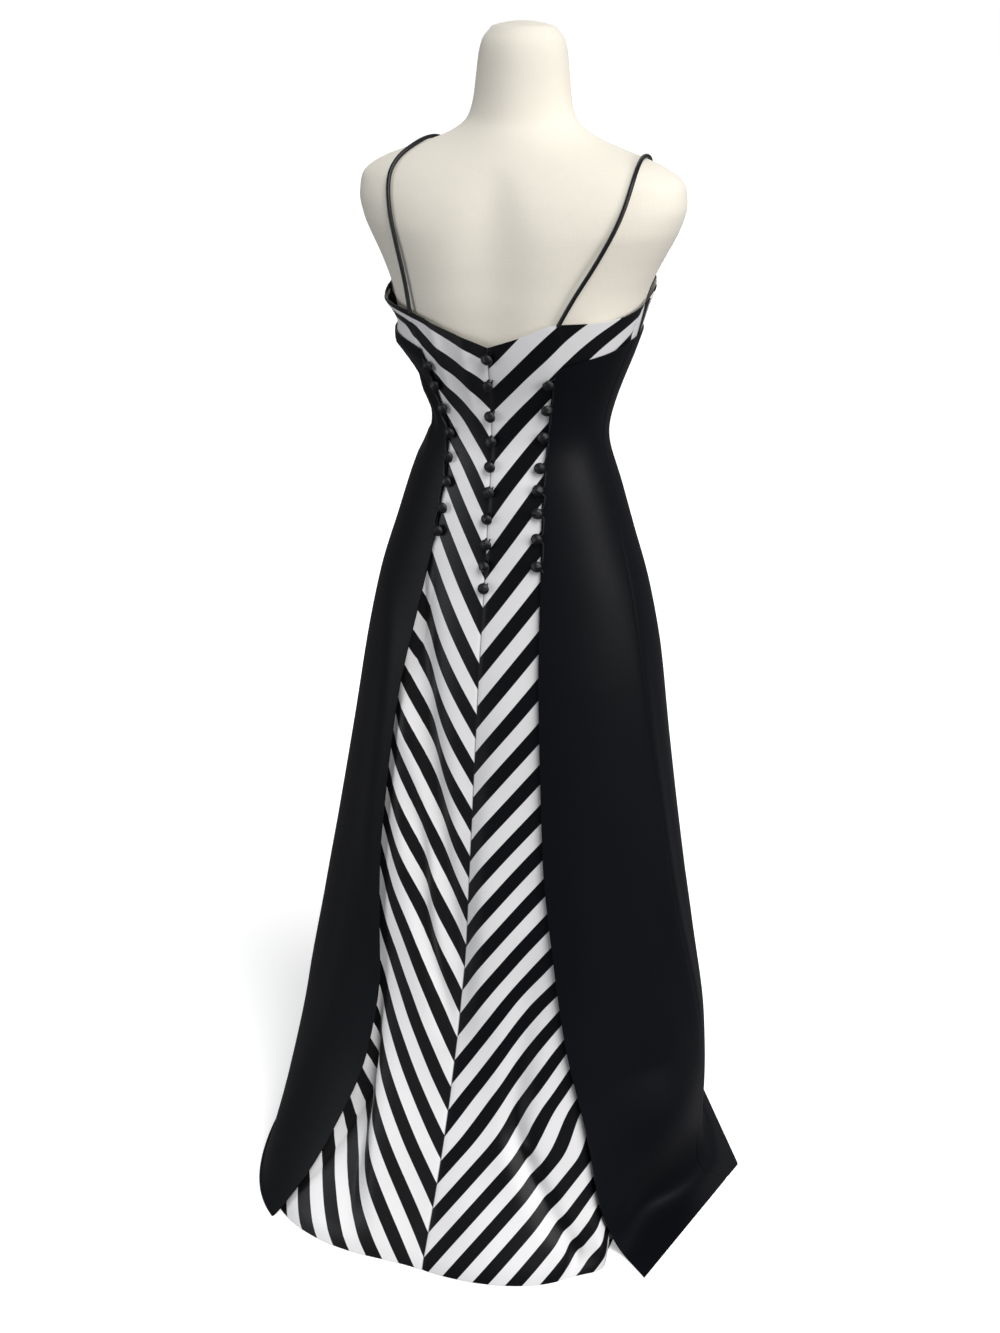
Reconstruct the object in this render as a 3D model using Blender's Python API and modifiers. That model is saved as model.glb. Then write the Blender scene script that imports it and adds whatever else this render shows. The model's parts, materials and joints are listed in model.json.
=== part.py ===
"""Evening gown on a limbless dress form.

A floor-length gown stands on a dress form. A striped sheath, mitred at the
centre back and centre front, hangs from two rouleau straps. A plain black
overskirt lies on it and opens at the back along two rows of covered buttons.

Metres, +Z up. The gown faces -Y, its back is towards +Y, and the wearer's
right is at -X. The origin is on the floor, under the middle of the stand.
Angles are in degrees about the upright axis: 0 is the centre back, 90 the
wearer's right side, 180 the centre front and -90 the wearer's left side.
"""

import math

import bmesh
import bpy
from mathutils import Vector
from mathutils.bvhtree import BVHTree

# Cloth
SHEATH_WALL = 0.0012
BLACK_WALL = 0.0015
SEAM_GAP = 0.0003
HEM_CLEARANCE = 0.0015
FLOOR_FOLD_HEIGHT = 0.0100
FLOOR_LAYER_HEIGHT = 0.0022
STRAP_RADIUS = 0.0025
STRAP_CLEARANCE = 0.0016
CORD_RADIUS = 0.0009
CORD_CLEARANCE = 0.0004

# Covered buttons, turned about their shank
BUTTON_PROFILE = (
    # radius, height above the cloth
    (0.0000, 0.0000),
    (0.0018, 0.0000),
    (0.0018, 0.0060),
    (0.0060, 0.0064),
    (0.0072, 0.0076),
    (0.0066, 0.0094),
    (0.0042, 0.0108),
    (0.0000, 0.0114),
)
BUTTON_SIDES = 8
BUTTON_CLEARANCE = 0.0003
BUTTON_MERGE = 0.00005
CENTRE_BUTTON_ANGLE = 0.2
OUTSIDE_RADIUS = 1.0

# Where a crease is sharp enough to stay flat shaded
SHARP_ANGLE = 40.0
RIM_ANGLE = 60.0

# Stand
BASE_RADIUS = 0.165
BASE_HEIGHT = 0.012
BASE_EDGE = 0.003
BASE_SIDES = 48
POLE_RADIUS = 0.016
POLE_EDGE = 0.0005
POLE_SIDES = 24
FORM_BOTTOM = 0.620
STAND_GAP = 0.0003

# Outer face of the sheath. The section is a rounded box: half width at the
# sides, depth behind and in front of the axis, and how square its corners are.
SHEATH = (
    # height, side, back, front, squareness
    (0.000, 0.280, 0.331, 0.225, 2.60),
    (0.120, 0.281, 0.262, 0.212, 2.30),
    (0.240, 0.275, 0.214, 0.198, 2.15),
    (0.380, 0.253, 0.182, 0.182, 2.15),
    (0.520, 0.229, 0.163, 0.167, 2.15),
    (0.660, 0.206, 0.146, 0.152, 2.15),
    (0.780, 0.188, 0.129, 0.137, 2.15),
    (0.870, 0.170, 0.115, 0.121, 2.15),
    (0.940, 0.149, 0.106, 0.106, 2.15),
    (1.000, 0.130, 0.098, 0.096, 2.15),
    (1.055, 0.112, 0.092, 0.091, 2.15),
    (1.110, 0.124, 0.098, 0.108, 2.15),
    (1.150, 0.139, 0.108, 0.118, 2.15),
    (1.190, 0.152, 0.115, 0.123, 2.15),
    (1.230, 0.164, 0.119, 0.129, 2.15),
    (1.260, 0.179, 0.119, 0.130, 2.15),
    (1.290, 0.192, 0.119, 0.130, 2.15),
)

# Where the skirt swings out from that section, or is drawn in under it.
FLARES = (
    # angle, spread, reach at the floor, height where it starts
    (-40.0, 15.0, 0.023, 0.30),
    (-80.0, 25.0, 0.031, 0.32),
    (62.0, 12.0, -0.055, 0.22),
)

# Bust cups
BUST_ANGLE = 153.0
BUST_SPREAD = 17.0
BUST_HEIGHT = 1.165
BUST_REACH = 0.030
BUST_RISE = 0.050
BUST_FALL = 0.038
FORM_BUST_REACH = 0.022

# Air between the sheath and the inner face of the black cloth
OVER_GAP = (
    # height, gap
    (0.000, 0.0090),
    (0.240, 0.0100),
    (0.520, 0.0080),
    (0.780, 0.0050),
    (0.870, 0.0030),
    (0.940, 0.0014),
    (1.290, 0.0012),
)

# Limbless dress form
FORM = (
    # height, side, back, front, squareness
    (0.632, 0.1400, 0.0920, 0.0960, 2.20),
    (0.660, 0.1520, 0.0980, 0.1030, 2.20),
    (0.740, 0.1630, 0.1040, 0.1120, 2.20),
    (0.800, 0.1665, 0.1075, 0.1150, 2.15),
    (0.870, 0.1645, 0.1100, 0.1160, 2.15),
    (0.940, 0.1440, 0.1010, 0.1010, 2.15),
    (1.000, 0.1250, 0.0930, 0.0910, 2.15),
    (1.030, 0.1120, 0.0880, 0.0870, 2.15),
    (1.055, 0.1070, 0.0865, 0.0855, 2.15),
    (1.080, 0.1100, 0.0880, 0.0900, 2.15),
    (1.110, 0.1190, 0.0930, 0.1020, 2.15),
    (1.150, 0.1340, 0.1030, 0.1120, 2.15),
    (1.190, 0.1470, 0.1100, 0.1170, 2.15),
    (1.230, 0.1575, 0.1130, 0.1180, 2.15),
    (1.260, 0.1705, 0.1130, 0.1160, 2.15),
    (1.285, 0.1835, 0.1115, 0.1130, 2.20),
    (1.308, 0.1940, 0.1080, 0.1080, 2.30),
    (1.332, 0.2000, 0.1020, 0.0980, 2.30),
    (1.354, 0.1980, 0.0930, 0.0850, 2.25),
    (1.374, 0.1730, 0.0830, 0.0730, 2.15),
    (1.390, 0.1280, 0.0750, 0.0640, 2.05),
    (1.405, 0.0880, 0.0680, 0.0580, 2.00),
    (1.422, 0.0650, 0.0600, 0.0550, 2.00),
    (1.445, 0.0575, 0.0560, 0.0540, 2.00),
    (1.470, 0.0545, 0.0535, 0.0535, 2.00),
    (1.495, 0.0515, 0.0510, 0.0510, 2.00),
    (1.512, 0.0465, 0.0460, 0.0460, 2.00),
    (1.523, 0.0350, 0.0350, 0.0350, 2.00),
)
FORM_TOP = 1.529
FORM_SIDES = 36
FORM_SOCKET_RADIUS = 0.030
FORM_UNDERSIDE_SHARE = 0.9

# Edges and seams across the surface
NECKLINE = (
    # angle, height
    (-180.0, 1.238),
    (-165.0, 1.250),
    (-146.0, 1.276),
    (-128.0, 1.258),
    (-100.0, 1.236),
    (-74.0, 1.216),
    (-49.0, 1.205),
    (-30.0, 1.199),
    (-14.0, 1.188),
    (0.0, 1.175),
    (19.0, 1.188),
    (39.0, 1.205),
    (55.0, 1.206),
    (69.0, 1.209),
    (82.0, 1.217),
    (100.0, 1.232),
    (128.0, 1.258),
    (146.0, 1.276),
    (165.0, 1.250),
    (180.0, 1.238),
)
BLACK_TOP = (
    # angle, height
    (-180.0, 1.140),
    (-150.0, 1.176),
    (-120.0, 1.186),
    (-82.0, 1.178),
    (-55.0, 1.168),
    (-42.0, 1.158),
    (-33.0, 1.146),
    (37.0, 1.143),
    (43.0, 1.152),
    (55.0, 1.161),
    (68.0, 1.168),
    (82.0, 1.178),
    (120.0, 1.186),
    (150.0, 1.176),
    (180.0, 1.140),
)
STRIPE_SIDE_SEAM = (
    # height, angle
    (0.000, 47.0),
    (0.100, 49.0),
    (0.300, 56.0),
    (0.520, 63.0),
    (0.740, 71.0),
    (0.870, 77.0),
    (0.970, 80.0),
    (1.055, 84.0),
    (1.120, 80.0),
    (1.190, 83.0),
    (1.240, 88.0),
)
BLACK_SIDE_SEAM = (
    # height, angle
    (0.000, 90.0),
    (0.120, 89.0),
    (0.240, 86.0),
    (0.340, 83.0),
    (0.460, 79.0),
    (0.600, 77.0),
    (0.740, 75.0),
    (0.870, 77.0),
    (0.970, 80.0),
    (1.055, 84.0),
    (1.120, 80.0),
    (1.190, 83.0),
    (1.240, 88.0),
)
OPEN_EDGE_RIGHT = (
    # height, angle
    (0.000, 50.0),
    (0.070, 44.0),
    (0.180, 42.0),
    (0.290, 38.0),
    (0.410, 35.0),
    (0.540, 32.0),
    (0.750, 31.0),
    (0.910, 33.5),
    (1.000, 35.5),
    (1.070, 39.5),
    (1.140, 39.5),
    (1.240, 41.0),
)
OPEN_EDGE_LEFT = (
    # height, angle
    (0.000, -38.0),
    (0.050, -35.0),
    (0.130, -33.0),
    (0.225, -31.0),
    (0.310, -31.5),
    (0.440, -37.0),
    (0.540, -40.0),
    (0.730, -41.0),
    (0.850, -38.5),
    (0.935, -35.5),
    (1.000, -34.0),
    (1.065, -35.5),
    (1.100, -40.0),
    (1.150, -44.5),
    (1.240, -50.0),
)

# How far the black hem runs out over the floor
HEM_REACH = (
    # angle, reach
    (-180.0, 0.007),
    (-120.0, 0.008),
    (-90.0, 0.006),
    (-38.0, 0.005),
    (50.0, 0.068),
    (61.0, 0.079),
    (72.0, 0.061),
    (84.0, 0.049),
    (95.0, 0.056),
    (105.0, 0.041),
    (118.0, 0.023),
    (140.0, 0.010),
    (180.0, 0.007),
)

# Buttons, from the top of each row
CENTRE_BUTTONS = (1.163, 1.130, 1.091, 1.060, 1.029, 0.998, 0.966, 0.935, 0.908, 0.880)
RIGHT_BUTTONS = (
    # height, angle
    (1.136, 37.0),
    (1.103, 37.5),
    (1.068, 37.0),
    (1.031, 35.0),
    (1.003, 34.0),
    (0.977, 33.0),
    (0.946, 32.5),
    (0.913, 32.0),
)
LEFT_BUTTONS = (
    # height, angle
    (1.144, -42.0),
    (1.121, -40.5),
    (1.093, -37.5),
    (1.064, -33.5),
    (1.033, -33.0),
    (1.004, -32.0),
    (0.971, -32.5),
    (0.942, -33.5),
)

# Panel grids: heights that every panel shares below its top edge
ROW_HEIGHTS = (
    0.050, 0.110, 0.175, 0.245, 0.330, 0.430, 0.540, 0.650, 0.750,
    0.835, 0.900, 0.955, 1.000, 1.030, 1.055, 1.080, 1.110, 1.135,
)
TOP_ROWS = 3
BLACK_TOP_ROWS = 2
TOP_EDGE_STEPS = 5
FLOOR_ROWS = (0.10, 0.55, 1.00)
LEAST_PANEL_ANGLE = 7.0

# Panel grids: columns across each panel, and how many of them lie on the low
# side of the open edge that crosses a striped back panel
STRIPED_BACK_COLUMNS = 9
COLUMNS_BEFORE_EDGE_RIGHT = 4
COLUMNS_BEFORE_EDGE_LEFT = 5
STRIPED_FRONT_COLUMNS = 10
BLACK_BACK_COLUMNS = 5
BLACK_FRONT_COLUMNS = 20

# Straps: angle where each leaves the top edge at the back and in front, and
# the points it passes over between them (x to the wearer's left, y, z).
STRAP_RIGHT = {
    "back_angle": 39.0,
    "front_angle": 146.0,
    "over": ((-0.1010, 0.0980, 1.239), (-0.1235, 0.0930, 1.277), (-0.1470, 0.0820, 1.327),
             (-0.1530, 0.0500, 1.374), (-0.1490, 0.0000, 1.387), (-0.1400, -0.0560, 1.362),
             (-0.1180, -0.1020, 1.312)),
}
STRAP_LEFT = {
    "back_angle": -49.0,
    "front_angle": -146.0,
    "over": ((0.1120, 0.0910, 1.242), (0.1220, 0.0925, 1.284), (0.1330, 0.0870, 1.327),
             (0.1370, 0.0640, 1.366), (0.1180, 0.0260, 1.390), (0.1060, -0.0420, 1.379),
             (0.1020, -0.0990, 1.312)),
}
STRAP_POINTS = 44
STRAP_RELAXATIONS = 10
STRAP_END_LIFT = 0.0014

# Button loops: offsets from the middle of the button, up and across
CENTRE_LOOP = (
    (0.0110, 0.0042),
    (0.0070, 0.0040),
    (0.0030, 0.0036),
    (-0.0012, 0.0032),
    (-0.0032, 0.0012),
    (-0.0032, -0.0014),
    (-0.0012, -0.0032),
    (0.0030, -0.0030),
    (0.0070, -0.0014),
    (0.0110, 0.0006),
)
SIDE_LOOP = (
    (0.0080, 0.0060),
    (0.0046, 0.0044),
    (0.0035, 0.0008),
    (0.0028, -0.0025),
    (0.0000, -0.0037),
    (-0.0028, -0.0025),
    (-0.0035, 0.0008),
    (-0.0046, 0.0044),
    (-0.0080, 0.0060),
)
SIDE_LOOP_HEIGHT = 0.0042


def clear_scene():
    """Remove the objects of the scene the script starts in."""
    for item in list(bpy.data.objects):
        bpy.data.objects.remove(item, do_unlink=True)


def make_collection(name):
    """A collection of its own for the parts."""
    collection = bpy.data.collections.new(name)
    bpy.context.scene.collection.children.link(collection)
    return collection


def make_material(name, colour, roughness, metallic=0.0):
    """A Principled material of one colour."""
    material = bpy.data.materials.new(name)
    material.use_nodes = True
    shader = material.node_tree.nodes["Principled BSDF"]
    shader.inputs["Base Color"].default_value = (*colour, 1.0)
    shader.inputs["Roughness"].default_value = roughness
    shader.inputs["Metallic"].default_value = metallic
    return material


def add_object(name, data, collection, material):
    """Link a new object that wears its own copy of a material."""
    own = material.copy()
    own.name = f"{name}_{material.name}"
    data.materials.append(own)
    item = bpy.data.objects.new(name, data)
    collection.objects.link(item)
    return item


def smooth(rows, at, column=1):
    """Read one column of a table, by a smooth curve that doesn't overshoot."""
    last = len(rows) - 1
    if at <= rows[0][0]:
        return rows[0][column]
    if at >= rows[last][0]:
        return rows[last][column]
    start = 0
    while rows[start + 1][0] < at:
        start += 1

    def slope(index):
        rise = rows[index + 1][column] - rows[index][column]
        return rise / (rows[index + 1][0] - rows[index][0])

    def tangent(index):
        if index == 0:
            return slope(0)
        if index == last:
            return slope(last - 1)
        before, after = slope(index - 1), slope(index)
        if before * after <= 0.0:
            return 0.0
        return 2.0 * before * after / (before + after)

    step = rows[start + 1][0] - rows[start][0]
    t = (at - rows[start][0]) / step
    low, high = rows[start][column], rows[start + 1][column]
    return (((2 * t - 3) * t * t + 1) * low + ((t - 2) * t + 1) * t * tangent(start) * step
            + (3 - 2 * t) * t * t * high + (t - 1) * t * t * tangent(start + 1) * step)


def bell(distance, spread):
    """A soft bump, 1 at no distance."""
    return math.exp(-0.5 * (distance / spread) ** 2)


def section_radius(table, angle, height):
    """Distance of a section's outline from the axis, at an angle."""
    side, back, front, square = (smooth(table, height, column) for column in (1, 2, 3, 4))
    across = abs(math.sin(math.radians(angle))) / side
    along = math.cos(math.radians(angle))
    along = abs(along) / (back if along > 0.0 else front)
    return (across ** square + along ** square) ** (-1.0 / square)


def wrapped(angle):
    """The same angle between -180 and 180."""
    return (angle + 180.0) % 360.0 - 180.0


def bust(angle, height, reach):
    """How far the two bust cups stand out."""
    rise = BUST_RISE if height > BUST_HEIGHT else BUST_FALL
    return reach * bell(abs(angle) - BUST_ANGLE, BUST_SPREAD) * bell(height - BUST_HEIGHT, rise)


def sheath_radius(angle, height):
    """Distance of the sheath's outer face from the axis."""
    angle = wrapped(angle)
    radius = section_radius(SHEATH, angle, height) + bust(angle, height, BUST_REACH)
    for middle, spread, reach, top in FLARES:
        if height < top:
            radius += reach * bell(angle - middle, spread) * (1.0 - height / top) ** 2
    return radius


def polar(angle, radius, height):
    """A point at an angle about the axis."""
    turn = math.radians(angle)
    return Vector((-radius * math.sin(turn), radius * math.cos(turn), height))


def seam_shift(radius):
    """Angle that half a seam gap takes up at a radius."""
    return math.degrees(0.5 * SEAM_GAP / radius)


def mirrored(table):
    """A seam table for the wearer's left side."""
    return tuple((height, -angle) for height, angle in table)


def straight_seam(angle):
    """A seam that keeps one angle from floor to neck."""
    return ((0.0, angle), (2.0, angle))


def panel_angle(low_seam, high_seam, across, height):
    """Angle of a panel's column, between its two seams."""
    low = smooth(low_seam, height)
    high = smooth(high_seam, height)
    shift = seam_shift(sheath_radius(0.5 * (low + high), height))
    low += shift
    high -= shift
    return low + (high - low) * across


def cloth_panel(name, shape, wall, collection, material):
    """A sheet of cloth: a flat slab of columns and rows, laid on its shape.

    place gives each column and row its outer point and the way inwards, so
    that panels meet along the same plane on both faces of the wall.
    """
    place, columns, rows = shape
    sheet = bmesh.new()
    bmesh.ops.create_grid(sheet, x_segments=columns, y_segments=rows, size=1.0)
    bmesh.ops.solidify(sheet, geom=sheet.faces[:], thickness=1.0)
    for vertex in sheet.verts:
        column = round(0.5 * (vertex.co.x + 1.0) * columns)
        row = round(0.5 * (vertex.co.y + 1.0) * rows)
        outer, inwards = place(column, row)
        vertex.co = outer + inwards * wall * round(-vertex.co.z)
    data = bpy.data.meshes.new(name)
    sheet.to_mesh(data)
    sheet.free()
    data.shade_smooth()
    data.set_sharp_from_angle(angle=math.radians(SHARP_ANGLE))
    return add_object(name, data, collection, material)


def striped_shape(low_seam, high_seam, breaks, columns):
    """Place, columns and rows of a striped panel, from hem to neckline.

    breaks is a seam table inside the panel that a column line follows, with
    the number of columns on its low side, or None.
    """
    heights = (HEM_CLEARANCE,) + ROW_HEIGHTS
    rows = len(heights) - 1 + TOP_ROWS

    def angle_at(column, height):
        if breaks is None:
            return panel_angle(low_seam, high_seam, column / columns, height)
        line, before = breaks
        low = panel_angle(low_seam, high_seam, 0.0, height)
        high = panel_angle(low_seam, high_seam, 1.0, height)
        middle = min(smooth(line, height), high - LEAST_PANEL_ANGLE)
        if column <= before:
            return low + (middle - low) * column / before
        return middle + (high - middle) * (column - before) / (columns - before)

    def place(column, row):
        if row < len(heights):
            height = heights[row]
            angle = angle_at(column, height)
        else:
            share = (row - len(heights) + 1) / TOP_ROWS
            top = heights[-1]
            for _ in range(TOP_EDGE_STEPS):
                top = smooth(NECKLINE, angle_at(column, top))
            height = heights[-1] + (top - heights[-1]) * share
            angle = angle_at(column, height)
        return polar(angle, sheath_radius(angle, height), height), polar(angle, -1.0, 0.0)

    return place, columns, rows


def black_radius(angle, height):
    """Distance of the black cloth's outer face from the axis."""
    return sheath_radius(angle, height) + smooth(OVER_GAP, height) + BLACK_WALL


def black_shape(low_seam, high_seam, columns):
    """Place, columns and rows of a black panel, from its floor layer to its top."""
    floor_rows = len(FLOOR_ROWS)
    heights = (FLOOR_FOLD_HEIGHT,) + ROW_HEIGHTS
    rows = floor_rows + len(heights) - 1 + BLACK_TOP_ROWS

    def place(column, row):
        across = column / columns
        if row < floor_rows:
            share = FLOOR_ROWS[floor_rows - 1 - row]
            angle = panel_angle(low_seam, high_seam, across, 0.0)
            radius = black_radius(angle, 0.0) + smooth(HEM_REACH, wrapped(angle)) * share
            return polar(angle, radius, FLOOR_LAYER_HEIGHT), Vector((0.0, 0.0, -1.0))
        row -= floor_rows
        if row < len(heights):
            height = heights[row]
            angle = panel_angle(low_seam, high_seam, across, height)
        else:
            share = (row - len(heights) + 1) / BLACK_TOP_ROWS
            top = heights[-1]
            for _ in range(TOP_EDGE_STEPS):
                top = smooth(BLACK_TOP, wrapped(panel_angle(low_seam, high_seam, across, top)))
            height = heights[-1] + (top - heights[-1]) * share
            angle = panel_angle(low_seam, high_seam, across, height)
        return polar(angle, black_radius(angle, height), height), polar(angle, -1.0, 0.0)

    return place, columns, rows


def make_striped_panels(collection, material):
    """The sheath: two back and two front panels from neckline to hem."""
    side_left = mirrored(STRIPE_SIDE_SEAM)
    middle = straight_seam(0.0)
    front_right = straight_seam(180.0)
    front_left = straight_seam(-180.0)
    shapes = {
        "stripe_back_right": striped_shape(middle, STRIPE_SIDE_SEAM,
                                           (OPEN_EDGE_RIGHT, COLUMNS_BEFORE_EDGE_RIGHT),
                                           STRIPED_BACK_COLUMNS),
        "stripe_back_left": striped_shape(side_left, middle,
                                          (OPEN_EDGE_LEFT, COLUMNS_BEFORE_EDGE_LEFT),
                                          STRIPED_BACK_COLUMNS),
        "stripe_front_right": striped_shape(STRIPE_SIDE_SEAM, front_right, None,
                                            STRIPED_FRONT_COLUMNS),
        "stripe_front_left": striped_shape(front_left, side_left, None,
                                           STRIPED_FRONT_COLUMNS),
    }
    return {name: cloth_panel(name, shape, SHEATH_WALL, collection, material)
            for name, shape in shapes.items()}


def make_black_panels(collection, material):
    """The overskirt: two back panels with an open edge, and one front panel."""
    side_left = mirrored(BLACK_SIDE_SEAM)
    around_front = tuple((height, 360.0 + angle) for height, angle in side_left)
    shapes = {
        "black_back_right": black_shape(OPEN_EDGE_RIGHT, BLACK_SIDE_SEAM, BLACK_BACK_COLUMNS),
        "black_back_left": black_shape(side_left, OPEN_EDGE_LEFT, BLACK_BACK_COLUMNS),
        "black_front": black_shape(BLACK_SIDE_SEAM, around_front, BLACK_FRONT_COLUMNS),
    }
    return {name: cloth_panel(name, shape, BLACK_WALL, collection, material)
            for name, shape in shapes.items()}


def make_form(collection, jersey, metal):
    """The dress form's torso, its pole and its base."""
    rings = len(FORM) + 2
    torso = bmesh.new()
    bmesh.ops.create_uvsphere(torso, u_segments=FORM_SIDES, v_segments=rings + 1, radius=1.0)
    for vertex in torso.verts:
        ring = round((math.asin(max(-1.0, min(1.0, vertex.co.z))) / math.pi + 0.5) * (rings + 1)) - 1
        angle = math.degrees(math.atan2(-vertex.co.x, vertex.co.y))
        if ring < 0:
            vertex.co = (0.0, 0.0, FORM_BOTTOM)
        elif ring == 0:
            vertex.co = polar(angle, FORM_SOCKET_RADIUS, FORM_BOTTOM)
        elif ring == 1:
            radius = FORM_UNDERSIDE_SHARE * section_radius(FORM, angle, FORM[0][0])
            vertex.co = polar(angle, radius, FORM_BOTTOM)
        elif ring - 2 < len(FORM):
            height = FORM[ring - 2][0]
            radius = section_radius(FORM, angle, height) + bust(angle, height, FORM_BUST_REACH)
            vertex.co = polar(angle, radius, height)
        else:
            vertex.co = (0.0, 0.0, FORM_TOP)
    data = bpy.data.meshes.new("form_torso")
    torso.to_mesh(data)
    torso.free()
    data.shade_smooth()
    parts = {"form_torso": add_object("form_torso", data, collection, jersey)}

    pole_bottom = BASE_HEIGHT + STAND_GAP
    pole_top = FORM_BOTTOM - STAND_GAP
    parts["form_pole"] = turned("form_pole", POLE_RADIUS, pole_top - pole_bottom, POLE_EDGE,
                                POLE_SIDES, collection, metal)
    parts["form_pole"].location = (0.0, 0.0, pole_bottom)
    parts["form_base"] = turned("form_base", BASE_RADIUS, BASE_HEIGHT, BASE_EDGE,
                                BASE_SIDES, collection, metal)
    return parts


def turned(name, radius, height, edge, sides, collection, material):
    """A round bar or disc with a bevelled rim, standing on its origin."""
    shape = bmesh.new()
    bmesh.ops.create_cone(shape, cap_ends=True, segments=sides, radius1=radius, radius2=radius,
                          depth=height)
    bmesh.ops.translate(shape, verts=shape.verts, vec=(0.0, 0.0, 0.5 * height))
    data = bpy.data.meshes.new(name)
    shape.to_mesh(data)
    shape.free()
    item = add_object(name, data, collection, material)
    rim = item.modifiers.new("rim", "BEVEL")
    rim.width = edge
    rim.segments = 1
    rim.limit_method = "ANGLE"
    rim.angle_limit = math.radians(RIM_ANGLE)
    return item


def surface_tree(items):
    """One search tree over the finished faces of several objects."""
    graph = bpy.context.evaluated_depsgraph_get()
    points = []
    faces = []
    for item in items:
        seen = item.evaluated_get(graph)
        data = seen.to_mesh()
        first = len(points)
        points.extend(item.matrix_world @ vertex.co for vertex in data.vertices)
        faces.extend([first + index for index in face.vertices] for face in data.polygons)
        seen.to_mesh_clear()
    return BVHTree.FromPolygons(points, faces)


def seat(tree, angle, height):
    """Outermost point of the cloth at an angle and height, and its normal."""
    start = polar(angle, OUTSIDE_RADIUS, height)
    inward = Vector((-start.x, -start.y, 0.0)).normalized()
    spot, normal, _, _ = tree.ray_cast(start, inward)
    return spot, normal


def make_button(name, spot, normal, mould, collection, material):
    """One covered button, standing on the cloth at a spot."""
    item = add_object(name, mould.copy(), collection, material)
    spin = item.modifiers.new("turn", "SCREW")
    spin.steps = BUTTON_SIDES
    spin.render_steps = BUTTON_SIDES
    spin.use_merge_vertices = True
    spin.merge_threshold = BUTTON_MERGE
    item.location = spot + normal * BUTTON_CLEARANCE
    item.rotation_mode = "QUATERNION"
    item.rotation_quaternion = normal.to_track_quat("Z", "Y")
    return item


def button_mould():
    """Half outline of a covered button, to be turned about its shank."""
    data = bpy.data.meshes.new("button_mould")
    outline = [(radius, 0.0, height) for radius, height in reversed(BUTTON_PROFILE)]
    data.from_pydata(outline, [(index, index + 1) for index in range(len(outline) - 1)], [])
    return data


def tube(name, points, radius, sides, collection, material):
    """A cord of round section through a list of points."""
    data = bpy.data.curves.new(name, "CURVE")
    data.dimensions = "3D"
    data.bevel_depth = radius
    data.bevel_resolution = sides
    data.use_fill_caps = True
    spline = data.splines.new("POLY")
    spline.points.add(len(points) - 1)
    for knot, point in zip(spline.points, points):
        knot.co = (*point, 1.0)
    return add_object(name, data, collection, material)


def smooth_path(points, count):
    """A smooth curve through a few points, cut into even steps of its parameter."""
    path = []
    last = len(points) - 1
    for index in range(count + 1):
        place = last * index / count
        start = min(int(place), last - 1)
        t = place - start
        here, after = points[start], points[start + 1]
        before = points[start - 1] if start > 0 else here * 2.0 - after
        beyond = points[start + 2] if start + 2 <= last else after * 2.0 - here
        path.append(0.5 * (2.0 * here + (after - before) * t
                           + (2.0 * before - 5.0 * here + 4.0 * after - beyond) * t * t
                           + (3.0 * here - before - 3.0 * after + beyond) * t * t * t))
    return path


def push_off(tree, point, clearance):
    """Move a point outwards until it is a clearance away from a closed form."""
    spot, normal, _, _ = tree.find_nearest(point)
    distance = (point - spot).dot(normal)
    if distance < clearance:
        point = spot + normal * clearance
    return point


def relaxed(path):
    """The same path with each inner point drawn halfway to the middle of its neighbours."""
    inner = [0.5 * path[index] + 0.25 * (path[index - 1] + path[index + 1])
             for index in range(1, len(path) - 1)]
    return [path[0]] + inner + [path[-1]]


def make_strap(name, strap, tree, collection, material):
    """A rouleau strap from the back neckline over the shoulder to the cup."""
    ends = []
    for angle in (strap["back_angle"], strap["front_angle"]):
        height = smooth(NECKLINE, angle)
        radius = sheath_radius(angle, height) - 0.5 * SHEATH_WALL
        ends.append(polar(angle, radius, height + STRAP_END_LIFT))
    over = [Vector(point) for point in strap["over"]]
    path = smooth_path([ends[0]] + over + [ends[1]], STRAP_POINTS)
    clearance = STRAP_RADIUS + STRAP_CLEARANCE
    for _ in range(STRAP_RELAXATIONS):
        path = relaxed([path[0]] + [push_off(tree, point, clearance) for point in path[1:-1]]
                       + [path[-1]])
    return tube(name, path, STRAP_RADIUS, 2, collection, material)


def along_cloth(tree, angle, height, up, across, lift):
    """A point above the cloth, at an offset from a place on it."""
    turned_angle = angle + math.degrees(across / sheath_radius(angle, height + up))
    spot, normal = seat(tree, turned_angle, height + up)
    return spot + normal * lift


def make_centre_fastening(panels, mould, collection, material):
    """The centre-back buttons and the small loop that hooks round each."""
    tree = surface_tree([panels["stripe_back_left"], panels["stripe_back_right"]])
    lift = CORD_RADIUS + CORD_CLEARANCE
    for number, height in enumerate(CENTRE_BUTTONS, 1):
        spot, normal = seat(tree, CENTRE_BUTTON_ANGLE, height)
        make_button(f"button_centre_{number:02d}", spot, normal, mould, collection, material)
        points = [along_cloth(tree, 0.0, height, up, across, lift) for up, across in CENTRE_LOOP]
        tube(f"loop_centre_{number:02d}", points, CORD_RADIUS, 1, collection, material)


def make_side_fastening(side, buttons, panels, mould, collection, material):
    """A side row of buttons at the open edge, and the cord that loops round them."""
    sign = 1.0 if side == "right" else -1.0
    stripe = surface_tree([panels[f"stripe_back_{side}"]])
    both = surface_tree([panels[f"stripe_back_{side}"], panels[f"black_back_{side}"]])
    cord = []
    for number, (height, angle) in enumerate(buttons, 1):
        spot, normal = seat(stripe, angle, height)
        make_button(f"button_{side}_{number:02d}", spot, normal, mould, collection, material)
        for up, across in SIDE_LOOP:
            over = along_cloth(stripe, angle, height, up, sign * across, SIDE_LOOP_HEIGHT)
            top = along_cloth(both, angle, height, up, sign * across, CORD_RADIUS + CORD_CLEARANCE)
            higher = top if top.xy.length > over.xy.length else over
            cord.append(higher)
    tube(f"loop_cord_{side}", cord, CORD_RADIUS, 1, collection, material)


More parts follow.
